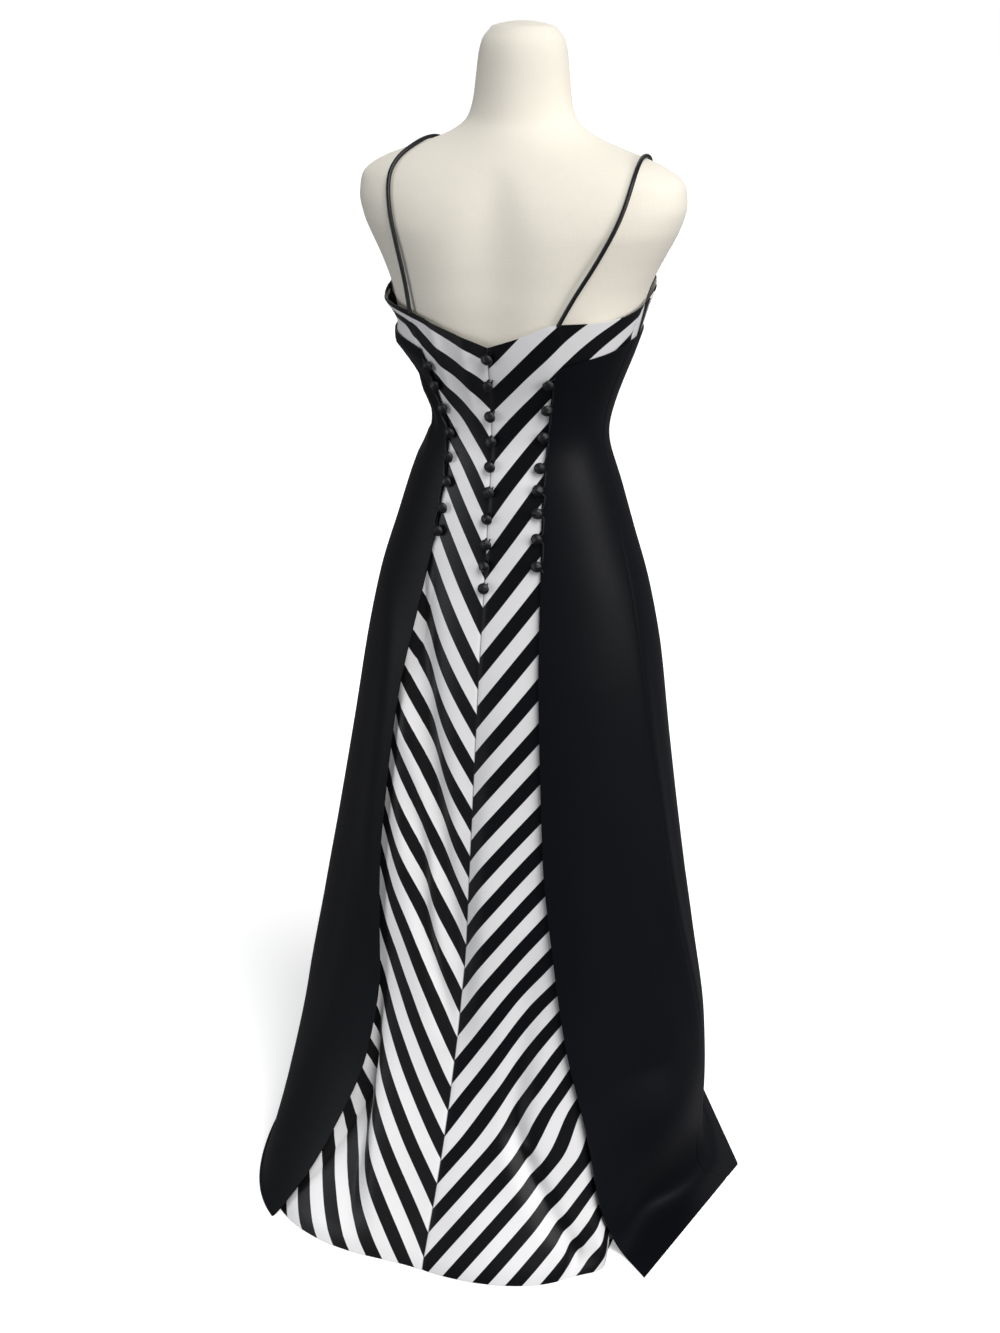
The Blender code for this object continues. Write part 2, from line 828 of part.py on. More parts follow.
def main():
    """Build the gown and the form it stands on."""
    clear_scene()
    collection = make_collection("evening_gown")
    stripes = make_material("striped_satin", (0.42, 0.42, 0.42), 0.40)
    black = make_material("black_satin", (0.010, 0.011, 0.014), 0.45)
    jersey = make_material("form_jersey", (0.72, 0.69, 0.62), 0.90)
    metal = make_material("painted_metal", (0.05, 0.05, 0.05), 0.50)

    form = make_form(collection, jersey, metal)
    panels = make_striped_panels(collection, stripes)
    panels.update(make_black_panels(collection, black))
    bpy.context.view_layer.update()

    mould = button_mould()
    make_centre_fastening(panels, mould, collection, black)
    make_side_fastening("right", RIGHT_BUTTONS, panels, mould, collection, black)
    make_side_fastening("left", LEFT_BUTTONS, panels, mould, collection, black)

    torso = surface_tree([form["form_torso"]])
    make_strap("strap_right", STRAP_RIGHT, torso, collection, black)
    make_strap("strap_left", STRAP_LEFT, torso, collection, black)


main()
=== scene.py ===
"""Evening gown on a limbless dress form: cloth, trim, form and studio.

Metres, +Z up. The gown faces -Y, its back is towards +Y, and the wearer's
right is at -X. Angles are in degrees about the upright axis: 0 is the centre
back, 90 the wearer's right side, 180 the centre front, -90 the left side.
"""

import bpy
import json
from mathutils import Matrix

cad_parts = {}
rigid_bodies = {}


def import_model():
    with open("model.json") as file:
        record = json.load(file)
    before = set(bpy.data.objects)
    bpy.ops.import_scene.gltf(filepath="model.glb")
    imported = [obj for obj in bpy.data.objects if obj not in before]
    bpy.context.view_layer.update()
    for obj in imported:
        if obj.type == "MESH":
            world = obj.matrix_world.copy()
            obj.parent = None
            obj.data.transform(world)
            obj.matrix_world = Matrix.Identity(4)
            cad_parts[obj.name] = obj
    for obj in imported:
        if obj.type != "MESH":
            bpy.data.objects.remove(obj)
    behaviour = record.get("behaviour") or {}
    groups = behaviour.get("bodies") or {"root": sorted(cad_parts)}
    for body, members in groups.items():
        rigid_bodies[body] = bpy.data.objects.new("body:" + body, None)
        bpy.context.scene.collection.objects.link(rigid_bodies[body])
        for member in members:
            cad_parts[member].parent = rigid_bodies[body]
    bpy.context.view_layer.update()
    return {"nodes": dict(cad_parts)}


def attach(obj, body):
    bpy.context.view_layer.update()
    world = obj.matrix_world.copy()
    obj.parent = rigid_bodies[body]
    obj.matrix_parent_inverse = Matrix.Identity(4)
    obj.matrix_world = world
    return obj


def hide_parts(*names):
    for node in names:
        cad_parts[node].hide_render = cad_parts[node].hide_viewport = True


bl_info = {
    "name": "Evening gown on dress form",
    "version": (1, 0, 0),
    "blender": (4, 5, 0),
    "location": "View3D > Sidebar > Gown",
    "description": "Builds the cloth, trim, dress form and studio of a striped evening gown",
    "category": "Object",
}

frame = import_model()

import json
import math

import bpy
import numpy as np
from bpy.props import FloatProperty, FloatVectorProperty, PointerProperty
from mathutils import Matrix, Vector
from mathutils.bvhtree import BVHTree

BODY = "root"

# Cloth walls, seams and air between the layers
SHEATH_WALL = 0.0012
BLACK_WALL = 0.0015
SEAM_GAP = 0.0003
HEM_CLEARANCE = 0.0015
FORM_CLEARANCE = 0.0010
FLOOR_FOLD_HEIGHT = 0.0100
FLOOR_LAYER_HEIGHT = 0.0022
SEAM_WIDTH = 0.0020
STRAP_CLEARANCE = 0.0004
STRAP_END_LIFT = 0.0014
CORD_CLEARANCE = 0.0003
OUTSIDE_RADIUS = 1.0
HEIGHT_SOFTNESS = 0.018
SOFT_OFFSETS = (-1.0, -0.5, 0.0, 0.5, 1.0)
OPEN_EDGE_FADE = 4.0

# Fineness of the meshes
SHEATH_BACK_GRID = (168, 236)
SHEATH_FRONT_GRID = (90, 150)
OVERSKIRT_BACK_GRID = (84, 190)
OVERSKIRT_FRONT_GRID = (200, 170)
FLOOR_ROWS = 16
CUT_STEP = 4
CUT_ITERATIONS = 30
CORNER_ROWS = 26
CORNER_ROUNDINGS = 40
CORNER_SPREAD = 7.0
TOP_EDGE_STEPS = 6
FORM_SIDES = 144
FORM_RINGS = 190
FORM_WELD = 0.00001
CORD_WELD = 0.00002
STRAP_SIDES = 4
LOOP_SIDES = 2

# Sharpest bend, in degrees, that is still shaded as one surface
PANEL_SHADING = 55.0
CORD_SHADING = 60.0
BUTTON_SHADING = 50.0

# Outer face of the sheath. The section is a rounded box: half width at the
# sides, depth behind and in front of the axis, and how square its corners are.
SHEATH = (
    # height, side, back, front, squareness
    (0.000, 0.280, 0.331, 0.225, 2.60),
    (0.120, 0.281, 0.262, 0.212, 2.30),
    (0.240, 0.275, 0.214, 0.198, 2.15),
    (0.380, 0.253, 0.182, 0.182, 2.15),
    (0.520, 0.229, 0.163, 0.167, 2.15),
    (0.660, 0.206, 0.146, 0.152, 2.15),
    (0.780, 0.188, 0.129, 0.137, 2.15),
    (0.870, 0.170, 0.115, 0.121, 2.15),
    (0.940, 0.149, 0.106, 0.106, 2.15),
    (1.000, 0.130, 0.098, 0.096, 2.15),
    (1.055, 0.112, 0.092, 0.091, 2.15),
    (1.110, 0.124, 0.098, 0.108, 2.15),
    (1.150, 0.139, 0.108, 0.118, 2.15),
    (1.190, 0.152, 0.115, 0.123, 2.15),
    (1.230, 0.164, 0.119, 0.129, 2.15),
    (1.260, 0.179, 0.119, 0.130, 2.15),
    (1.290, 0.192, 0.119, 0.130, 2.15),
)

# Where the skirt swings out from that section, or is drawn in under it.
FLARES = (
    # angle, spread, reach at the floor, height where it starts
    (-40.0, 15.0, 0.023, 0.30),
    (-80.0, 25.0, 0.031, 0.32),
    (62.0, 12.0, -0.055, 0.22),
)

# How far the wearer's left side is drawn in under the arm, and where it bunches
LEFT_SIDE_ANGLE = -74.0
LEFT_SIDE_SPREADS = (24.0, 15.0)
LEFT_SIDE = (
    # height, how far it is drawn in
    (1.020, 0.0000), (1.048, 0.0050), (1.064, 0.0125), (1.080, 0.0165), (1.092, 0.0135),
    (1.105, 0.0105), (1.122, 0.0110), (1.135, 0.0065), (1.148, 0.0000), (1.160, -0.0070),
    (1.172, -0.0045), (1.185, 0.0000), (1.198, -0.0030), (1.210, -0.0085), (1.222, -0.0040),
    (1.240, 0.0000),
)
LEFT_SIDE_FORM_SHARE = 0.8

# Bust cups
BUST_ANGLE = 153.0
BUST_SPREAD = 17.0
BUST_HEIGHT = 1.165
BUST_REACH = 0.030
BUST_RISE = 0.050
BUST_FALL = 0.038
FORM_BUST_REACH = 0.022

# Air between the sheath and the inner face of the black cloth
OVER_GAP = (
    # height, gap
    (0.000, 0.0090), (0.240, 0.0100), (0.520, 0.0080), (0.780, 0.0050), (0.870, 0.0030),
    (0.940, 0.0014), (1.290, 0.0012),
)

# Limbless dress form
FORM = (
    # height, side, back, front, squareness
    (0.632, 0.1400, 0.0920, 0.0960, 2.20),
    (0.660, 0.1520, 0.0980, 0.1030, 2.20),
    (0.740, 0.1630, 0.1040, 0.1120, 2.20),
    (0.800, 0.1665, 0.1075, 0.1150, 2.15),
    (0.870, 0.1645, 0.1100, 0.1160, 2.15),
    (0.940, 0.1440, 0.1010, 0.1010, 2.15),
    (1.000, 0.1250, 0.0930, 0.0910, 2.15),
    (1.030, 0.1120, 0.0880, 0.0870, 2.15),
    (1.055, 0.1070, 0.0865, 0.0855, 2.15),
    (1.080, 0.1100, 0.0880, 0.0900, 2.15),
    (1.110, 0.1190, 0.0930, 0.1020, 2.15),
    (1.150, 0.1340, 0.1030, 0.1120, 2.15),
    (1.190, 0.1470, 0.1100, 0.1170, 2.15),
    (1.230, 0.1575, 0.1130, 0.1180, 2.15),
    (1.260, 0.1705, 0.1130, 0.1160, 2.15),
    (1.285, 0.1835, 0.1115, 0.1130, 2.20),
    (1.308, 0.1940, 0.1080, 0.1080, 2.30),
    (1.332, 0.2000, 0.1020, 0.0980, 2.30),
    (1.354, 0.1980, 0.0930, 0.0850, 2.25),
    (1.374, 0.1730, 0.0830, 0.0730, 2.15),
    (1.390, 0.1280, 0.0750, 0.0640, 2.05),
    (1.405, 0.0880, 0.0680, 0.0580, 2.00),
    (1.422, 0.0650, 0.0600, 0.0550, 2.00),
    (1.445, 0.0575, 0.0560, 0.0540, 2.00),
    (1.470, 0.0545, 0.0535, 0.0535, 2.00),
    (1.495, 0.0515, 0.0510, 0.0510, 2.00),
    (1.512, 0.0465, 0.0460, 0.0460, 2.00),
    (1.523, 0.0350, 0.0350, 0.0350, 2.00),
)
FORM_TOP = 1.529
FORM_BOTTOM = 0.620
FORM_SOFTNESS = 0.005
CROWN_SHARES = (0.93, 0.84, 0.7, 0.5, 0.25, 0.0)
CROWN_SQUARENESS = 2
UNDERSIDE_SHARES = (0.0, 0.2, 0.5, 0.75, 0.9, 0.96)
UNDERSIDE_SQUARENESS = 12
COVER_WIDTH_PER_RADIAN = 0.14
SPINE_HOLLOW = (
    # height, depth of the hollow between the shoulder blades, its half width
    (1.120, 0.0000, 0.036),
    (1.200, 0.0070, 0.036),
    (1.270, 0.0095, 0.034),
    (1.325, 0.0070, 0.024),
    (1.375, 0.0000, 0.012),
)

# Edges and seams across the surface
NECKLINE = (
    # angle, height
    (-180.0, 1.238), (-165.0, 1.250), (-146.0, 1.276), (-128.0, 1.258), (-100.0, 1.236),
    (-74.0, 1.216), (-49.0, 1.205), (-38.0, 1.199), (-30.0, 1.193), (-14.0, 1.183),
    (0.0, 1.174), (19.0, 1.188), (39.0, 1.205), (55.0, 1.206), (69.0, 1.209), (82.0, 1.217),
    (100.0, 1.232), (128.0, 1.258), (146.0, 1.276), (165.0, 1.250), (180.0, 1.238),
)
BLACK_TOP = (
    # angle, height
    (-180.0, 1.140), (-150.0, 1.176), (-120.0, 1.186), (-82.0, 1.178), (-55.0, 1.168),
    (-42.0, 1.158), (-33.0, 1.146), (37.0, 1.143), (43.0, 1.152), (55.0, 1.161),
    (68.0, 1.168), (82.0, 1.178), (120.0, 1.186), (150.0, 1.176), (180.0, 1.140),
)
STRIPE_SIDE_SEAM = (
    # height, angle
    (0.000, 47.0), (0.100, 49.0), (0.300, 56.0), (0.520, 63.0), (0.740, 71.0),
    (0.870, 77.0), (0.970, 80.0), (1.055, 84.0), (1.120, 80.0), (1.190, 83.0),
    (1.240, 88.0),
)
BLACK_SIDE_SEAM = (
    # height, angle
    (0.000, 90.0), (0.120, 89.0), (0.240, 86.0), (0.340, 83.0), (0.460, 79.0),
    (0.600, 77.0), (0.740, 75.0), (0.870, 77.0), (0.970, 80.0), (1.055, 84.0),
    (1.120, 80.0), (1.190, 83.0), (1.240, 88.0),
)
OPEN_EDGE_RIGHT = (
    # height, angle
    (0.000, 50.0), (0.070, 44.0), (0.180, 42.0), (0.290, 38.0), (0.410, 35.0),
    (0.540, 32.0), (0.750, 31.0), (0.910, 33.5), (1.000, 35.5), (1.070, 39.5),
    (1.140, 39.5), (1.240, 41.0),
)
OPEN_EDGE_LEFT = (
    # height, angle
    (0.000, -38.0), (0.050, -35.0), (0.130, -33.0), (0.225, -31.0), (0.310, -31.5),
    (0.440, -37.0), (0.540, -40.0), (0.730, -41.0), (0.850, -38.5), (0.935, -35.5),
    (1.000, -34.0), (1.065, -35.5), (1.100, -40.0), (1.150, -44.5), (1.240, -50.0),
)

# How far the black hem runs out over the floor
HEM_REACH = (
    # angle, reach
    (-180.0, 0.007), (-120.0, 0.008), (-90.0, 0.006), (-38.0, 0.005), (50.0, 0.010),
    (140.0, 0.010), (180.0, 0.007),
)

# Straight stretches of the hem where it is spread out on the wearer's right
HEM_STRETCHES = (
    # direction it faces, distance from the axis
    (76.2, 0.3262),
    (119.0, 0.3170),
)
HEM_STRETCH_ENDS = (30.0, 135.0)
HEM_STRETCH_LIMIT = 80.0

# How the stripes run across the striped panels. They rise from the seam in the
# middle: the distance up a stripe gains for each metre out, how that changes
# further out, and where the first stripe meets the seam.
STRIPE_RUN = {
    "right": (
        # height on the seam, first stripe, rise, change of the rise
        (0.000, 1.178, 1.50, 0.0),
        (0.160, 1.178, 1.50, 0.0),
        (0.240, 1.186, 1.50, 1.0),
        (0.300, 1.188, 1.55, 0.9),
        (0.360, 1.188, 1.59, 0.2),
        (0.420, 1.185, 1.56, -0.3),
        (0.540, 1.180, 1.54, -0.4),
        (0.660, 1.173, 1.48, -0.3),
        (0.760, 1.170, 1.44, -0.2),
        (0.880, 1.171, 1.43, -0.1),
        (0.970, 1.176, 1.40, 0.0),
        (1.050, 1.187, 1.30, 0.9),
        (1.120, 1.191, 1.34, 0.5),
        (1.170, 1.187, 1.44, -0.2),
        (1.210, 1.181, 1.54, -1.3),
        (1.260, 1.175, 1.64, -3.1),
    ),
    "left": (
        # height on the seam, first stripe, rise, change of the rise
        (0.000, 1.146, 1.40, -0.7),
        (0.080, 1.148, 1.30, 0.4),
        (0.160, 1.149, 1.23, 1.7),
        (0.240, 1.151, 1.25, 1.9),
        (0.300, 1.155, 1.33, 1.5),
        (0.360, 1.157, 1.47, 1.0),
        (0.420, 1.157, 1.56, 0.6),
        (0.540, 1.156, 1.60, 0.9),
        (0.660, 1.157, 1.54, 0.9),
        (0.780, 1.160, 1.42, 0.5),
        (0.840, 1.165, 1.38, 0.2),
        (0.900, 1.172, 1.42, 0.0),
        (0.970, 1.181, 1.50, 0.0),
        (1.050, 1.185, 1.58, 0.0),
        (1.090, 1.188, 1.47, 0.0),
        (1.130, 1.195, 1.36, 0.5),
        (1.170, 1.195, 1.11, 1.4),
        (1.210, 1.190, 0.80, 3.7),
        (1.250, 1.176, 0.44, 6.4),
    ),
    "front": (
        # height on the seam, first stripe, rise, change of the rise
        (0.000, 1.150, 1.50, 0.0),
        (1.300, 1.150, 1.50, 0.0),
    ),
}
STRIPE_MATCH_HEIGHT = 1.20

# How far the rolled edge pushes the stripes together on the left of the neckline
EDGE_TUCK = (
    # distance from the seam, push, drop below the neckline where it fades and where it ends
    (0.000, 0.0000, 0.0000, 0.0080),
    (0.058, 0.0000, 0.0000, 0.0080),
    (0.071, 0.0080, 0.0015, 0.0100),
    (0.087, 0.0195, 0.0050, 0.0130),
    (0.106, 0.0400, 0.0080, 0.0150),
    (0.118, 0.0490, 0.0080, 0.0150),
    (0.140, 0.0510, 0.0080, 0.0150),
    (0.206, 0.0455, 0.0080, 0.0150),
)

# Beyond this the stripes on the left of the bodice run along the neckline
EDGE_REACH = (
    # distance from the seam, distance at which the stripe is read
    (0.000, 0.000), (0.050, 0.050), (0.098, 0.098), (0.118, 0.112), (0.145, 0.116),
    (0.200, 0.117),
)
EDGE_REACH_HEIGHTS = (1.10, 1.15)

# Folds of the striped back, each a path up the skirt. Depth is below nought in
# a trough and above nought on a ridge; it fades out at both ends of the path.
# Each row: height, angle, depth, width on its left, width on its right.
SHEATH_FOLDS = {
    "long_trough": (
        (0.330, -1.0, 0.0000, 0.012, 0.012),
        (0.396, -4.5, -0.0060, 0.012, 0.011),
        (0.474, -10.6, -0.0115, 0.011, 0.012),
        (0.525, -14.6, -0.0135, 0.011, 0.013),
        (0.585, -19.6, -0.0155, 0.011, 0.015),
        (0.664, -27.6, -0.0170, 0.012, 0.016),
        (0.757, -35.6, -0.0165, 0.014, 0.017),
        (0.853, -43.0, -0.0100, 0.016, 0.017),
        (0.920, -49.0, 0.0000, 0.018, 0.016),
    ),
    "short_trough": (
        (0.270, -2.0, 0.0000, 0.012, 0.010),
        (0.325, -7.6, -0.0060, 0.011, 0.010),
        (0.364, -13.0, -0.0100, 0.010, 0.010),
        (0.434, -20.6, -0.0130, 0.009, 0.011),
        (0.517, -25.0, -0.0125, 0.009, 0.011),
        (0.605, -33.0, -0.0080, 0.009, 0.010),
        (0.670, -38.0, 0.0000, 0.010, 0.010),
    ),
    "edge_pleat": (
        (0.020, -20.0, 0.0000, 0.050, 0.014),
        (0.060, -24.0, -0.0140, 0.055, 0.015),
        (0.100, -27.5, -0.0220, 0.060, 0.016),
        (0.160, -31.5, -0.0275, 0.060, 0.017),
        (0.220, -35.0, -0.0285, 0.060, 0.017),
        (0.290, -38.5, -0.0190, 0.050, 0.017),
        (0.380, -43.0, 0.0000, 0.040, 0.018),
    ),
    "pleat_crest": (
        (0.010, -10.0, 0.0000, 0.014, 0.036),
        (0.070, -16.0, 0.0046, 0.012, 0.036),
        (0.130, -20.6, 0.0068, 0.012, 0.034),
        (0.190, -25.0, 0.0068, 0.012, 0.032),
        (0.260, -29.0, 0.0052, 0.012, 0.030),
        (0.370, -34.0, 0.0000, 0.014, 0.030),
    ),
    "seam_trough": (
        (0.230, 0.6, 0.0000, 0.024, 0.014),
        (0.330, -0.2, -0.0060, 0.022, 0.012),
        (0.430, -0.6, -0.0085, 0.020, 0.011),
        (0.540, -0.8, -0.0070, 0.018, 0.011),
        (0.660, -0.6, -0.0040, 0.016, 0.012),
        (0.780, 0.0, 0.0000, 0.016, 0.014),
    ),
    "right_of_seam_ridge": (
        (0.280, 11.0, 0.0000, 0.014, 0.026),
        (0.339, 8.8, 0.0030, 0.013, 0.026),
        (0.405, 9.4, 0.0045, 0.012, 0.026),
        (0.459, 8.0, 0.0040, 0.012, 0.024),
        (0.542, 6.0, 0.0020, 0.012, 0.022),
        (0.620, 5.0, 0.0000, 0.012, 0.020),
    ),
    "left_bulge": (
        (0.380, -34.0, 0.0000, 0.016, 0.014),
        (0.480, -32.0, 0.0045, 0.015, 0.013),
        (0.600, -34.5, 0.0060, 0.014, 0.012),
        (0.700, -38.0, 0.0050, 0.014, 0.012),
        (0.800, -43.0, 0.0000, 0.014, 0.012),
    ),
    "low_right_wave": (
        (0.060, 14.0, 0.0000, 0.030, 0.026),
        (0.140, 13.0, -0.0040, 0.028, 0.024),
        (0.240, 12.5, -0.0040, 0.026, 0.022),
        (0.330, 13.5, 0.0000, 0.024, 0.020),
    ),
    "right_crease": (
        (0.040, 34.0, 0.0000, 0.016, 0.012),
        (0.085, 30.5, -0.0090, 0.015, 0.010),
        (0.125, 26.4, -0.0140, 0.013, 0.010),
        (0.175, 22.8, -0.0165, 0.012, 0.009),
        (0.230, 23.6, -0.0130, 0.014, 0.012),
        (0.320, 26.0, -0.0070, 0.018, 0.014),
        (0.430, 30.0, 0.0000, 0.020, 0.018),
    ),
    "hem_crumple": (
        (0.003, 34.0, -0.0010, 0.010, 0.008),
        (0.024, 37.0, -0.0100, 0.009, 0.006),
        (0.048, 35.0, -0.0060, 0.011, 0.008),
        (0.080, 31.0, 0.0000, 0.014, 0.010),
    ),
    "hem_crumple_ridge": (
        (0.003, 43.0, 0.0140, 0.018, 0.010),
        (0.022, 43.5, 0.0140, 0.011, 0.010),
        (0.045, 43.0, 0.0070, 0.010, 0.009),
        (0.075, 41.0, 0.0000, 0.010, 0.010),
    ),
    "left_hem_wave": (
        (0.002, -6.0, -0.0050, 0.040, 0.034),
        (0.060, -8.0, -0.0040, 0.038, 0.034),
        (0.140, -12.0, 0.0000, 0.036, 0.030),
    ),
    "left_bodice_ridge": (
        (1.060, -12.0, 0.0000, 0.006, 0.006),
        (1.110, -14.0, 0.0016, 0.006, 0.005),
        (1.150, -15.5, 0.0020, 0.006, 0.005),
        (1.190, -16.0, 0.0012, 0.006, 0.006),
    ),
    "left_bodice_outer_ridge": (
        (1.080, -29.0, 0.0000, 0.006, 0.006),
        (1.125, -31.5, 0.0020, 0.006, 0.005),
        (1.165, -33.0, 0.0026, 0.006, 0.005),
        (1.200, -36.0, 0.0018, 0.007, 0.006),
    ),
    "left_bodice_groove": (
        (1.120, -46.0, 0.0000, 0.006, 0.005),
        (1.160, -48.5, -0.0028, 0.006, 0.004),
        (1.195, -52.0, -0.0032, 0.006, 0.004),
        (1.215, -56.0, -0.0018, 0.007, 0.005),
    ),
    "right_bodice_ridge": (
        (1.120, 33.0, 0.0000, 0.008, 0.008),
        (1.155, 36.0, 0.0016, 0.007, 0.007),
        (1.200, 40.0, 0.0010, 0.008, 0.008),
    ),
    "left_side_pucker": (
        (1.120, -52.0, 0.0000, 0.008, 0.006),
        (1.160, -56.0, -0.0030, 0.009, 0.006),
        (1.195, -60.0, -0.0050, 0.010, 0.006),
        (1.230, -62.0, -0.0040, 0.012, 0.007),
    ),
    "left_side_gape": (
        (1.120, -82.0, 0.0000, 0.020, 0.016),
        (1.180, -80.0, 0.0040, 0.022, 0.016),
        (1.240, -78.0, 0.0080, 0.024, 0.016),
    ),
    "right_button_pucker": (
        (0.975, 28.0, 0.0000, 0.005, 0.006),
        (1.003, 29.0, -0.0012, 0.005, 0.006),
        (1.040, 30.5, 0.0000, 0.005, 0.006),
    ),
}

# Folds of the black overskirt, in rows of the same kind
BLACK_FOLDS = {
    "left_bodice_bunch": (
        (1.020, -58.0, 0.0000, 0.008, 0.006),
        (1.060, -60.0, 0.0030, 0.008, 0.006),
        (1.095, -66.0, 0.0044, 0.008, 0.006),
        (1.130, -76.0, 0.0040, 0.009, 0.007),
        (1.165, -90.0, 0.0000, 0.010, 0.008),
    ),
    "left_bodice_crease": (
        (1.060, -46.0, 0.0000, 0.006, 0.006),
        (1.090, -50.0, 0.0022, 0.006, 0.005),
        (1.115, -57.0, 0.0034, 0.007, 0.005),
        (1.140, -68.0, 0.0030, 0.007, 0.006),
        (1.168, -82.0, 0.0000, 0.008, 0.007),
    ),
    "left_ridge": (
        (0.330, -34.0, 0.0000, 0.016, 0.014),
        (0.438, -41.3, 0.0030, 0.016, 0.014),
        (0.548, -44.8, 0.0048, 0.018, 0.014),
        (0.687, -45.8, 0.0050, 0.018, 0.014),
        (0.765, -48.5, 0.0040, 0.018, 0.014),
        (0.886, -62.3, 0.0000, 0.020, 0.016),
    ),
    "left_hollow": (
        (0.120, -62.0, 0.0000, 0.040, 0.030),
        (0.300, -60.0, -0.0060, 0.036, 0.030),
        (0.480, -61.0, -0.0060, 0.034, 0.026),
        (0.700, -64.0, -0.0030, 0.030, 0.024),
        (0.860, -70.0, 0.0000, 0.028, 0.022),
    ),
    "left_hem_swell": (
        (0.012, -52.0, 0.0060, 0.030, 0.030),
        (0.080, -54.0, 0.0050, 0.034, 0.030),
        (0.220, -56.0, 0.0000, 0.034, 0.030),
    ),
    "right_seam_ridge": (
        (0.160, 87.0, 0.0000, 0.018, 0.016),
        (0.300, 84.4, 0.0045, 0.018, 0.014),
        (0.460, 79.0, 0.0055, 0.018, 0.013),
        (0.620, 76.8, 0.0050, 0.018, 0.013),
        (0.760, 75.2, 0.0038, 0.018, 0.013),
        (0.900, 78.0, 0.0000, 0.018, 0.014),
    ),
    "right_fall": (
        (0.030, 56.0, 0.0000, 0.040, 0.036),
        (0.140, 57.0, -0.0050, 0.036, 0.034),
        (0.330, 59.0, -0.0060, 0.034, 0.030),
        (0.560, 58.0, -0.0040, 0.030, 0.028),
        (0.760, 58.0, 0.0000, 0.028, 0.026),
    ),
    "right_break": (
        (0.060, 70.0, 0.0000, 0.050, 0.050),
        (0.120, 69.0, 0.0090, 0.045, 0.050),
        (0.170, 68.0, 0.0120, 0.040, 0.050),
        (0.240, 68.0, 0.0000, 0.040, 0.050),
    ),
    "front_right_fold": (
        (0.012, 128.0, -0.0100, 0.034, 0.028),
        (0.200, 129.0, -0.0090, 0.030, 0.026),
        (0.460, 132.0, -0.0060, 0.024, 0.022),
        (0.760, 138.0, 0.0000, 0.018, 0.018),
    ),
    "front_middle_fold": (
        (0.012, 171.0, -0.0090, 0.028, 0.036),
        (0.180, 172.0, -0.0090, 0.026, 0.032),
        (0.420, 174.0, -0.0050, 0.024, 0.026),
        (0.640, 177.0, 0.0000, 0.020, 0.020),
    ),
    "front_left_fold": (
        (0.012, 214.0, -0.0110, 0.030, 0.030),
        (0.220, 212.0, -0.0090, 0.026, 0.028),
        (0.520, 208.0, -0.0060, 0.022, 0.024),
        (0.820, 203.0, 0.0000, 0.016, 0.018),
    ),
    "left_side_fold": (
        (0.012, 252.0, -0.0080, 0.034, 0.030),
        (0.260, 254.0, -0.0080, 0.030, 0.028),
        (0.540, 257.0, -0.0050, 0.024, 0.024),
        (0.800, 262.0, 0.0000, 0.020, 0.020),
    ),
    "right_side_fold": (
        (0.012, 104.0, -0.0060, 0.030, 0.030),
        (0.240, 103.0, -0.0080, 0.028, 0.026),
        (0.520, 101.0, -0.0060, 0.024, 0.022),
        (0.780, 98.0, 0.0000, 0.018, 0.018),
    ),
}

# Buttons, from the top of each row
CENTRE_BUTTONS = (1.163, 1.130, 1.091, 1.060, 1.029, 0.998, 0.966, 0.935, 0.908, 0.880)
CENTRE_BUTTON_ANGLE = 0.2
RIGHT_BUTTONS = (
    # height, angle
    (1.136, 37.0), (1.103, 37.5), (1.068, 37.0), (1.031, 35.0), (1.003, 34.0),
    (0.977, 33.0), (0.946, 32.5), (0.913, 32.0),
)
LEFT_BUTTONS = (
    # height, angle
    (1.144, -42.0), (1.121, -40.5), (1.093, -37.5), (1.064, -33.5), (1.033, -33.0),
    (1.004, -32.0), (0.971, -32.5), (0.942, -33.5),
)
BUTTON_TILT = 16.0
BUTTON_TILT_SPREAD = 0.5
BUTTON_SWAY = 0.8
BUTTON_DROOP = 10.0
BUTTON_SEAT = 0.0002
BUTTON_SEED = 5

# A covered button. Its dome, rim and shank are in shares of its width, and its
# fold in shares of its radius.
BUTTON_SEGMENTS = (28, 16)
BUTTON_DOME = 0.34
BUTTON_DOME_POWER = 1.25
BUTTON_RIM = 0.16
BUTTON_GATHER = 0.10
BUTTON_FOLD = 0.16
BUTTON_FOLD_WIDTH = 0.16
BUTTON_FOLD_FALL = 0.8
SHANK_LEVEL = 0.13
SHANK_RADIUS = 0.22
SHANK_TOP = 0.15
SHANK_END = 0.02

# Straps: angle where each leaves the top edge at the back and in front, and
# the points it passes over between them (x to the wearer's left, y, z).
STRAPS = {
    "right": {
        "back_angle": 39.0,
        "front_angle": 146.0,
        "over": ((-0.1010, 0.0980, 1.239), (-0.1235, 0.0930, 1.277), (-0.1470, 0.0820, 1.327),
                 (-0.1530, 0.0500, 1.374), (-0.1490, 0.0000, 1.387), (-0.1400, -0.0560, 1.362),
                 (-0.1180, -0.1020, 1.312)),
    },
    "left": {
        "back_angle": -49.0,
        "front_angle": -146.0,
        "over": ((0.1120, 0.0910, 1.242), (0.1220, 0.0925, 1.284), (0.1330, 0.0870, 1.327),
                 (0.1370, 0.0640, 1.366), (0.1180, 0.0260, 1.390), (0.1060, -0.0420, 1.379),
                 (0.1020, -0.0990, 1.312)),
    },
}
STRAP_POINTS = 90
STRAP_RELAXATIONS = 16

